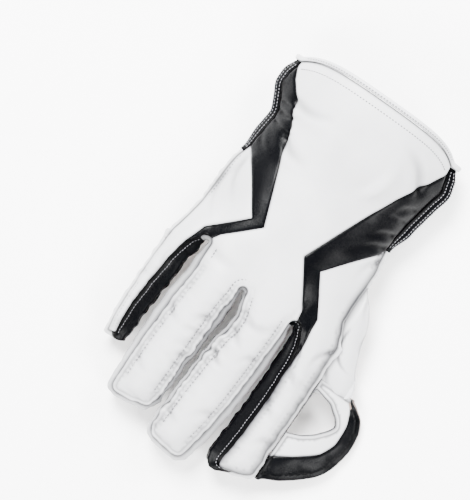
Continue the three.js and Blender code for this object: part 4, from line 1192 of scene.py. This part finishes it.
def wall_lines():
    """The walls' upper, middle and lower lines round the glove, and their outward directions."""
    stops = way_round()
    at = {kind: np.array([stop_point(finger, share, row, kind) for finger, share, row, _ in stops])
          for kind in ("back", "wide", "palm")}
    n = {kind: left_normals(points) for kind, points in at.items()}
    reach = np.array([welt_reach(s) for s in stops])
    gained = np.einsum("ij,ij->i", (at["wide"] - at["back"])[:, :2], n["back"])
    cleared = np.einsum("ij,ij->i", (at["wide"] - at["palm"])[:, :2], n["back"])
    out = np.maximum(0, reach - np.minimum(gained, cleared))
    waves = wobble(at["back"][:, 0], at["back"][:, 1])
    top, mid, low = at["back"].copy(), at["wide"].copy(), at["palm"].copy()
    top[:, :2] += waves - n["back"] * TUCKED_IN
    mid[:, :2] += n["wide"] * out[:, None] + waves * 0.6
    low[:, :2] -= n["palm"] * TUCKED_IN
    mid[:, 2] = (at["back"][:, 2] + at["palm"][:, 2]) / 2
    top[:, 2] -= TUCKED_UNDER
    low[:, 2] += TUCKED_UNDER
    return stops, top, mid, low, n["wide"]


def grid_normals(grid):
    """Outward normals of a grid of points whose rows run round the glove."""
    along = np.gradient(grid, axis=0)
    down = np.gradient(grid, axis=1)
    n = np.cross(along, down)
    return n / np.maximum(np.linalg.norm(n, axis=2), 1e-9)[:, :, None]


def slit_share(stop):
    """How deep between two fingers a stop of the way round lies, from 0 to 1; it sets how much
    painted shade the wall gets inside the slits.
    """
    finger, _, (where, value), side = stop
    if side == "tip" or (finger, side) in (("index", "low"), ("little", "high")):
        return 0.0
    near = 1.0 if where != "tip" else float(ease((0.92 - value) / 0.4))
    middle_slit = (finger, side) in (("middle", "high"), ("middle", "slit"), ("ring", "low"))
    return near * (1.0 if middle_slit else 0.45)


ROLL_AT = 0.33  # share down a black wall where its stitched roll lies


def welt_section(top, mid, low, normal):
    """A flat sewn edge: from the back's edge out to a thin tip and in again."""
    root_top = top * 0.72 + mid * 0.28
    root_low = low * 0.72 + mid * 0.28
    root_top[:, 2] = mid[:, 2] + 1.5
    root_low[:, 2] = mid[:, 2] - 1.5
    tip_top, tip_mid, tip_low = mid.copy(), mid.copy(), mid.copy()
    tip_top[:, 2] += 1.0
    tip_low[:, 2] -= 1.0
    tip_mid[:, :2] += normal * 0.5
    outer = np.stack([top, root_top, (root_top + tip_top) / 2, tip_top, tip_mid, tip_low,
                      (root_low + tip_low) / 2, root_low, low], axis=1)
    inner = outer.copy()
    inner[:, :, :2] -= normal[:, None] * 0.7
    inner[:, :, 2] = (outer[:, :, 2] + mid[:, None, 2]) / 2
    return outer, inner


def noise_along(places, step, *seeds):
    """Smooth noise along a line."""
    return np.array([noise.noise(Vector((s / step,) + seeds)) for s in places])


def wall_section(top, mid, low, normal, gather, rolled):
    """A wall that bulges between its two edges, drawn into small gathers."""
    v = np.linspace(0, 1, 15)
    from_top = (2 * (v - 0.5) * (v - 1))[None, :, None]
    from_mid = (4 * v * (1 - v))[None, :, None]
    from_low = (2 * v * (v - 0.5))[None, :, None]
    outer = top[:, None] * from_top + mid[:, None] * from_mid + low[:, None] * from_low
    span = np.linalg.norm(np.diff(mid, axis=0), axis=1)
    run = np.concatenate([[0], np.cumsum(span)])
    fold = noise_along(run, 9, 0.3, 1.7) * 1.2 + noise_along(run, 3.6, 2.3, 0.7) * 0.6
    pleat = np.stack([noise_along(run, 4.5, h * 2.2, 5.1) for h in v], axis=1)
    wave = (fold[:, None] + pleat * 1.2) * np.sin(v * math.pi)[None, :] * gather
    joined = ease(np.minimum(run, run[-1] - run) / 3.5)[:, None]
    if rolled:
        wave = wave + (hill(v, ROLL_AT, 0.1) * 1.3 - hill(v, 0.16, 0.06) * 0.7)[None, :]
        outer[:, :, 2] += 1.5 * hill(v, ROLL_AT, 0.11)[None, :] * joined
    outer[:, :, :2] += normal[:, None] * (wave * joined)[:, :, None]
    inner = outer.copy()
    inner[:, :, :2] -= normal[:, None] * THIN
    return outer, inner


FINE_ROW = {"pitch": 2.3, "length": 1.5, "thick": 0.22, "lift": 0.1}
WHIPPED = {"pitch": 1.7, "length": 1.6, "thick": 0.34, "lift": 0.1}


def stitch_welt(outer, normal):
    """Two rows on top of a welt, and whipped stitches round its tip."""
    up = np.tile((0.0, 0.0, 1.0), (len(outer), 1))
    for share in (0.2, 0.8):
        line = outer[:, 1] * (1 - share) + outer[:, 3] * share
        add_stitches(line[2:-2], up[2:-2], "thread_white", **FINE_ROW)
    outward = np.column_stack([normal, np.zeros(len(outer))])
    add_stitches(outer[:, 4], outward, "thread_white", **WHIPPED)


def stitch_wall(outer, normal):
    """One row along the upper side of a black wall's roll."""
    facing = grid_normals(outer)[:, 2]
    if np.mean(np.einsum("ij,ij->i", facing[:, :2], normal)) < 0:
        facing = -facing
    line = (outer[:, 1] + outer[:, 2]) / 2
    add_stitches(line[2:-2], facing[2:-2], "thread_white", **FINE_ROW)


def wall_piece(name, part, look, material, welt, depth):
    """One stretch of the walls: a welt, a black wall with a stitched roll, or a plain wall."""
    normal = part[3]
    black = look == "black"
    if welt:
        outer, inner = welt_section(*part)
        stitch_welt(outer, normal)
    else:
        outer, inner = wall_section(*part, 0.9 if black else 0.6, black)
    if black and not welt:
        stitch_wall(outer, normal)
    down = np.linspace(0, 1, outer.shape[1])
    # painted shade: dark along the wall's two edges, and darker down into the slits between the
    # fingers
    shade = (hill(down, 0, 0.1) + hill(down, 1, 0.1)) * 0.9 + 0.1
    shade = shade[None, :] + depth[:, None] * ease((down - 0.2) / 0.35)[None, :] * 0.85
    return lattice_piece(name, outer, inner, material, np.clip(shade, 0, 1))


def side_walls(materials):
    """The walls all the way round, from the rim's thumb side to its little side."""
    stops, top, mid, low, normal = wall_lines()
    wrist = 1.05

    def first_stop(finger, side, test=lambda stop: True):
        return next(i for i, s in enumerate(stops) if (s[0], s[3]) == (finger, side) and test(s))

    def tip(finger):
        return first_stop(finger, "tip", lambda stop: abs(stop[1]) < 0.1)
    last = len(stops) - 1
    above_wrist = first_stop("index", "low", lambda stop: stop[2][1] > wrist)
    cuts = [  # name, finish, last stop
        ("welt_thumb", "black", above_wrist),
        ("side_index", "white", tip("index")),
        ("gusset_index", "black", first_stop("middle", "low")),
        ("gusset_centre", "white_in_painted_shade", first_stop("little", "low")),
        ("gusset_little", "black", tip("little")),
        ("side_little", "white", last - above_wrist),
        ("welt_little", "black", last),
    ]
    start = 0
    for name, look, end in cuts:
        span = slice(start, end + 1)
        part = (top[span], mid[span], low[span], normal[span])
        depth = np.array([slit_share(stop) for stop in stops[span]])
        welt = name.startswith("welt")
        obj = wall_piece(name + "_wall", part, look, materials[look], welt, depth)
        finish_piece(obj, [name, "side_heel"] if name == "side_index" else [name])
        start = end


# Rim binding
BINDING_SIDES = 20
BINDING_IN = 1.25  # how far its middle lies inside the leather's face
BINDING_THICK = 1.95  # half its thickness and half its width
BINDING_WIDE = 1.85
PAST_WELT = {"thumb": 1.0, "little": 1.6}  # its reach beyond a welt's tip


def rim_loop():
    """The line of the mouth, as X and Z: along the back, round the corner and along the palm."""
    xs = np.linspace(side_x("thumb", 0), side_x("little", 0), 90)
    back_line = np.column_stack([xs, BACK(xs, rim_y(xs, 0))])
    palm_line = np.column_stack([xs, PALM(xs, rim_y(xs, 0))])[::-1]
    right_z = (back_line[-1, 1] + palm_line[0, 1]) / 2
    left_z = (back_line[0, 1] + palm_line[-1, 1]) / 2
    right = [[side_x("little", 0) + WELT["little"] + PAST_WELT["little"], right_z]]
    left = [[side_x("thumb", 0) - WELT["thumb"] - PAST_WELT["thumb"], left_z]]
    loop = resample(np.vstack([back_line, right, palm_line, left]), 1.5, closed=True)
    return rounded(loop, 6)


def rounded(loop, times):
    """A closed line with its corners evened out."""
    for _ in range(times):
        loop = (np.roll(loop, 1, axis=0) + loop * 2 + np.roll(loop, -1, axis=0)) / 4
    return loop


def rim_binding(materials):
    """A rounded binding folded over the cuff's mouth."""
    loop = rim_loop()
    t = np.roll(loop, -1, axis=0) - np.roll(loop, 1, axis=0)
    t /= np.hypot(*t.T)[:, None]
    n = np.column_stack([-t[:, 1], t[:, 0]])
    if np.dot(n[0], loop[0] - loop.mean(axis=0)) < 0:
        n = -n
    angle = 2 * np.pi * np.arange(BINDING_SIDES) / BINDING_SIDES
    c, s = np.cos(angle), np.sin(angle)
    out = -BINDING_IN + BINDING_THICK * np.sign(c) * np.abs(c) ** 0.7
    run = BINDING_WIDE + BINDING_WIDE * np.sign(s) * np.abs(s) ** 0.6
    clipped = np.clip(loop[:, 0], side_x("thumb", 0), side_x("little", 0))
    front = rim_y(clipped, 0) - RIM_BAND
    grid = np.stack([loop[:, :1] + n[:, :1] * out, front[:, None] + run,
                     np.maximum(loop[:, 1:] + n[:, 1:] * out, FLOOR_GAP)], axis=2)
    rows, cols = grid.shape[:2]
    faces = []
    for i in range(rows):
        first, second = i * cols, (i + 1) % rows * cols
        for j in range(cols):
            k = (j + 1) % cols
            faces.append((first + j, first + k, second + k, second + j))
    shade = np.zeros((rows, cols))
    shade[:, 4:7] = 0.6  # painted shade along its inner and its outer edge
    shade[:, 14:17] = 0.45
    points = grid.reshape(-1, 3)
    obj = mesh_piece("rim_binding_band", points, faces, materials["white"], shade.ravel())
    finish_piece(obj, ["rim_binding"])


# Thumb
THUMB_ROOT = np.array([-0.326 * KNUCKLE, WRIST_Y + 0.333 * HAND, 0.45 * WRIST_HIGH])
THUMB_TIP = np.array([-0.572 * KNUCKLE, KNUCKLE_Y + 0.275 * FINGER["index"], 0.42 * THUMB_HIGH])
THUMB_SHAPE = [  # along, share of the width, share of the height
    (0, 0.5, 0.9), (0.16, 0.62, 1.05), (0.29, 0.86, 1.12), (0.43, 0.96, 1.12), (0.6, 0.86, 1.05),
    (0.745, 0.86, 1.0), (0.89, 0.97, 0.92), (1, 0.97, 0.86)]
THUMB_W = Curve([r[0] for r in THUMB_SHAPE], [r[1] for r in THUMB_SHAPE])
THUMB_T = Curve([r[0] for r in THUMB_SHAPE], [r[2] for r in THUMB_SHAPE])
THUMB_LENGTH = math.hypot(*(THUMB_TIP - THUMB_ROOT)[:2])
THUMB_WAY = (THUMB_TIP - THUMB_ROOT)[:2] / THUMB_LENGTH
THUMB_START = 0.12  # the part before it lies inside the hand
THUMB_CLEAR = 2.6  # kept between the thumb's back and the hand's edge
THUMB_DIP = 4.5  # how far the tip's back dips


def under(ceiling, z):
    """A height that eases to a ceiling and never passes it."""
    return ceiling - math.log1p(math.exp(min(max(ceiling - z, -30), 40)))


def thumb_point(s, angle, depth):
    """A point of the thumb's skin, at a share along it, an angle round it and a depth below."""
    end = 1 - depth / THUMB_LENGTH
    at = s * end
    start = end - TIP_ROUND * 0.8 * THUMB_WIDE / THUMB_LENGTH
    share = 1.0
    if at >= start:
        gone = ((at - start) / (end - start)) ** TIP_SQUARE
        share = max(0, 1 - gone) ** (1 / TIP_SQUARE)
    share = max(share, 0.02)
    half = THUMB_WIDE / 2 * float(THUMB_W(at)) - depth
    rise = THUMB_HIGH / 2 * float(THUMB_T(at)) - depth
    level = THUMB_ROOT[2] + (THUMB_TIP[2] - THUMB_ROOT[2]) * float(ease(at * 1.15))
    reach = half * share * math.cos(angle)
    x = THUMB_ROOT[0] + (THUMB_TIP[0] - THUMB_ROOT[0]) * at + THUMB_WAY[1] * reach
    y = THUMB_ROOT[1] + (THUMB_TIP[1] - THUMB_ROOT[1]) * at - THUMB_WAY[0] * reach
    z = level + rise * share * math.sin(angle)
    if angle > 0:  # the back's half dips at its end and stays below the hand's edge
        z -= THUMB_DIP * float(ease((at - 0.78) / 0.22))
        beyond = max(float(edge_x("index", "low", "back", y)) - x, 0)
        edge_z = float(back_on(x + beyond, y, "index"))
        z = under(edge_z - THUMB_CLEAR - depth + 1.1 * beyond, z)
    return np.array([x, y, max(depth + FLOOR_GAP, z)])


def thumb_pieces(materials):
    """The thumb's back and its facing, each half of one rounded form."""
    around = 45
    tip_rows = 0.75 + 0.249 * np.sin(np.linspace(0, math.pi / 2, 34))[1:]
    rows = np.concatenate([np.linspace(THUMB_START, 0.75, 46), tip_rows])
    near = np.minimum(np.linspace(0, 1, around), np.linspace(1, 0, around)) * 50  # about mm
    groove = hill(near, 4.4, 1.1) * 0.7 + hill(near, 0, 0.9) * 0.6
    for name, look, turn, thick in (("thumb_back", "white", 1, LEATHER),
                                    ("thumb_facing", "rubber", -1, RUBBER)):
        angles = np.linspace(0.03, math.pi - 0.03, around) * turn
        outer = np.array([[thumb_point(s, a, 0) for a in angles] for s in rows])
        inner = np.array([[thumb_point(s, a, thick) for a in angles] for s in rows])
        toward = inner - outer
        toward /= np.maximum(np.linalg.norm(toward, axis=2), 1e-6)[:, :, None]
        outer = outer + toward * groove[None, :, None]
        outer[:, :, 2] = np.maximum(outer[:, :, 2], FLOOR_GAP)
        # painted shade in the grooves beside the thumb's seams
        shade = np.tile(groove * 0.6, (len(rows), 1))
        if look == "white":
            x, y = outer[:, :, 0].ravel(), outer[:, :, 1].ravel()
            creases = tucks(x, y, THUMB_TUCKS).reshape(shade.shape)
            outer[:, :, 2] = np.maximum(outer[:, :, 2] + creases, FLOOR_GAP)
            beyond = np.maximum(edge_x("index", "low", "back", y) - x, 0).reshape(shade.shape)
            # painted shadow along the hand's edge over the thumb, and painted shade in its creases
            shade = shade + hill(beyond, 0, 3.0) * 0.9 + np.clip(-creases * 0.45, 0, 0.6)
        shade = np.clip(shade, 0, 1)
        obj = lattice_piece(name + "_leather", outer, inner, materials[look], shade)
        finish_piece(obj, [name])


# Web
WEB = [  # t along the index finger, lip, trim edge, level
    (0.206, -0.688, -0.677, 0.3), (0.237, -0.723, -0.691, 0.28), (0.294, -0.78, -0.713, 0.265),
    (0.377, -0.809, -0.736, 0.25), (0.469, -0.817, -0.74, 0.25), (0.579, -0.805, -0.709, 0.27),
    (0.675, -0.777, -0.621, 0.35), (0.772, -0.709, -0.504, 0.475), (0.86, -0.617, -0.426, 0.625),
    (0.93, -0.528, -0.426, 0.75)]
WEB_Y = [KNUCKLE_Y + r[0] * FINGER["index"] for r in WEB]
WEB_LIP = Curve(WEB_Y, [r[1] * KNUCKLE for r in WEB])
WEB_TRIM = Curve(WEB_Y, [r[2] * KNUCKLE for r in WEB])
WEB_LEVEL = Curve(WEB_Y, [r[3] * WEB_HIGH for r in WEB])
WINDOW = [(x * KNUCKLE, KNUCKLE_Y + t * FINGER["index"]) for x, t in (
    (-0.503, 0.593), (-0.567, 0.561), (-0.621, 0.513), (-0.67, 0.443),
    (-0.689, 0.405), (-0.665, 0.36), (-0.603, 0.305), (-0.503, 0.276))]


def web_height(x, y):
    """The web's back, rising from its lip towards the index finger."""
    level = WEB_LEVEL(y)
    rise = 1 - (1 - np.clip((x - WEB_LIP(y)) / WEB_DEPTH, 0, 1)) ** 1.8
    return level + (WEB_HIGH - level) * rise


def web_pieces(materials):
    """The web's panel and its dark border, cut through at the window, and the rubber under them."""
    ys = np.linspace(WEB_Y[0], WEB_Y[-1], 80)
    side = np.column_stack([finger_edge("index", "low", "wide", ys) - 0.5, ys])
    lip = np.column_stack([WEB_LIP(ys), ys])[::-1]
    outline = np.vstack([side, lip])
    trim_y = np.linspace(WEB_Y[0], WEB_Y[-2], 70)
    trim = np.column_stack([WEB_TRIM(trim_y), trim_y])
    window = rounded(resample(WINDOW, 0.9, closed=True), 3)
    near, far = 150, 300  # Y below and above the whole web
    left, right = -150, -60  # X beside it
    start = (WEB_TRIM(WEB_Y[0]), near)
    areas = {
        "web_trim": np.vstack([[start], trim, [(right, far), (left, far), (left, near)]]),
        "web_panel": np.vstack([[start, (right, near)], trim[::-1]]),
    }
    seams = [trimmed(trim, outline)]
    plan, faces, to_edge, to_seam = cut_sheet(outline, seams, areas, grid=1.8, holes=[window])
    x, y = plan[:, 0], plan[:, 1]
    normal = normals_of(web_height, x, y)
    lift = ((1 - hill(to_seam, 0, 4)) * 0.5 - hill(to_seam, 0, 0.75) * 0.7
            + hill(to_edge, RIDGE_IN, 0.8) * 0.7 - hill(to_edge, VALLEY_IN, 0.7) * 0.6
            - hill(to_edge, 0, 0.7) * 0.8
            + loose_noise(plan, 16, 9.3) * 0.9 + loose_noise(plan, 7, 2.3) * 0.35)
    top = np.column_stack([x, y, web_height(x, y)]) + normal * lift[:, None]
    # painted shade along the trim's seam, the edges and the piping's inner line
    shade = np.clip(hill(to_seam, 0, 0.9) * 0.7 + hill(to_edge, 0, 1.1)
                    + hill(to_edge, VALLEY_IN, 0.8) * 0.8, 0, 1)
    for name, part in faces.items():
        look = LOOK[name]
        obj = shell_piece(name + "_leather", plan, part, top, normal, THIN, materials[look], shade)
        finish_piece(obj, [name])
    both = np.vstack(list(faces.values()))
    both = both[to_edge[both].mean(axis=1) > 0.9]
    bottom = np.column_stack([x, y, web_height(x, y) - 2 * WEB_RUBBER])
    obj = shell_piece("web_facing_rubber", plan, both, bottom, -normal, WEB_RUBBER,
                      materials["rubber"], shade)
    finish_piece(obj, ["web_facing"])


# Sewing
def stitch_back(line, lift, **more):
    """Grey stitches along a line of plan points on the back; their thread is darkened as painted
    shade of the stitch holes.
    """
    n = normals_of(BACK, line[:, 0], line[:, 1])
    p = np.column_stack([line, BACK(line[:, 0], line[:, 1])]) + n * lift
    add_stitches(p, n, "thread_grey", **more)


def inner_line(points, distance):
    """A line moved inwards, to its right."""
    n = left_normals(np.column_stack([points, np.zeros(len(points))]))
    return points - n * distance


def sewing(materials):
    """Rows of stitches: two at the rim, and one inside each finger's edge."""
    xs = np.linspace(side_x("thumb", 0) + 3, side_x("little", 0) - 3, 120)
    for inside_rim, lift in ((2.4, 0.72), (10.8, 0.3)):
        line = np.column_stack([xs, rim_y(xs, 0) - RIM_BAND + inside_rim])
        stitch_back(line, lift, pitch=2.4, length=1.7, thick=0.42)
    ys = np.linspace(WRIST_Y + 6, KNUCKLE_Y - 1, 60)
    thumb_side = np.column_stack([side_x("thumb", ys), ys])
    little_side = np.column_stack([side_x("little", ys), ys])[::-1]
    edge = {}
    for k, name in enumerate(FINGERS):
        start = KNUCKLE_Y if k == 0 else place(CROTCH[FINGERS[k - 1]])
        end = KNUCKLE_Y if k == 3 else place(CROTCH[name])
        edge[name] = finger_outline(name, "back", start, end)
    turn = {name: int(np.argmax(line[:, 1])) for name, line in edge.items()}
    around_tip = 30  # points of the outline that a side's row follows past the tip
    rows = [  # parts of the line, distance inside it, whether it stops short of the tips
        ([thumb_side, edge["index"][:turn["index"] + around_tip]], 2.0, False),
        ([edge["middle"], slit_end("middle", "back"), edge["ring"]], SEWN_IN, True),
        ([edge["little"][turn["little"] - around_tip:], little_side], 2.0, False),
    ]
    for parts, inset, short in rows:
        line = inner_line(resample(np.vstack(parts), 1.0), inset)
        past_tip = (line[:, 1] > row_end(line[:, 0]) + 2) & short
        breaks = np.flatnonzero(np.diff(past_tip.astype(int))) + 1
        for run in np.split(np.arange(len(line)), breaks):
            if len(run) > 4 and not past_tip[run[0]]:
                stitch_back(line[run], -0.1, pitch=2.6, length=1.8, thick=0.46)
    build_stitches(materials)


# Table, light and camera
LIGHTS = [  # name, place, power
    ("key_light", (0.95, -0.75, 1.5), 260), ("near_light", (-0.5, -1.4, 1.2), 90),
    ("fill_light", (0.3, 1.4, 1.3), 90), ("far_light", (-1.4, 0.5, 1.2), 80)]
LIGHT_SIZE = 0.9


def stage():
    """A pale table and soft studio light."""
    bpy.ops.mesh.primitive_plane_add(size=6, location=(0, 0, 0))
    floor = bpy.context.object
    floor.name = "table_top"
    paper, tree, shader = new_material("pale_table")
    mottle = node(tree, "ShaderNodeTexNoise", Scale=3.0, Detail=3.0)
    on_object(tree, mottle)
    tone = blend_colour(tree, mottle.outputs[0], (0.94, 0.94, 0.94, 1), (0.96, 0.96, 0.96, 1))
    tree.links.new(tone, shader.inputs["Base Color"])
    shader.inputs["Roughness"].default_value = 0.8
    floor.data.materials.append(paper)

    world = bpy.data.worlds.new("studio")
    bpy.context.scene.world = world
    world.use_nodes = True
    sky = world.node_tree.nodes["Background"]
    sky.inputs["Color"].default_value = (1, 1, 1, 1)
    sky.inputs["Strength"].default_value = 0.38
    for name, spot, power in LIGHTS:
        light = bpy.data.lights.new(name, "AREA")
        light.size = LIGHT_SIZE
        light.energy = power
        holder = bpy.data.objects.new(name, light)
        holder.location = spot
        holder.rotation_euler = (-Vector(spot)).to_track_quat("-Z", "Y").to_euler()
        bpy.context.scene.collection.objects.link(holder)


CAMERA_HIGH = 2.0
PICTURE_WIDE = 470  # pixels
PIXEL = 0.0006845  # metres of the glove in one pixel
SHARP_AT = 0.02  # the height where that holds


def camera():
    """Straight above the glove, turned so that the fingers point down to the left."""
    lens = bpy.data.cameras.new("camera")
    holder = bpy.data.objects.new("camera", lens)
    bpy.context.scene.collection.objects.link(holder)
    lens.sensor_fit = "HORIZONTAL"
    lens.angle = 2 * math.atan(PICTURE_WIDE * PIXEL / 2 / (CAMERA_HIGH - SHARP_AT))
    holder.location = (0.0493, 0.0005, CAMERA_HIGH)
    right = Vector((-0.818, -0.575, 0)).normalized()
    up = Vector((0.575, -0.818, 0)).normalized()
    turn = Matrix((right, up, right.cross(up))).transposed()
    holder.rotation_euler = turn.to_euler()
    bpy.context.scene.camera = holder


camera()
MATERIALS = make_materials()
stage()
back_panels(MATERIALS)
palm_panels(MATERIALS)
side_walls(MATERIALS)
rim_binding(MATERIALS)
thumb_pieces(MATERIALS)
web_pieces(MATERIALS)
sewing(MATERIALS)
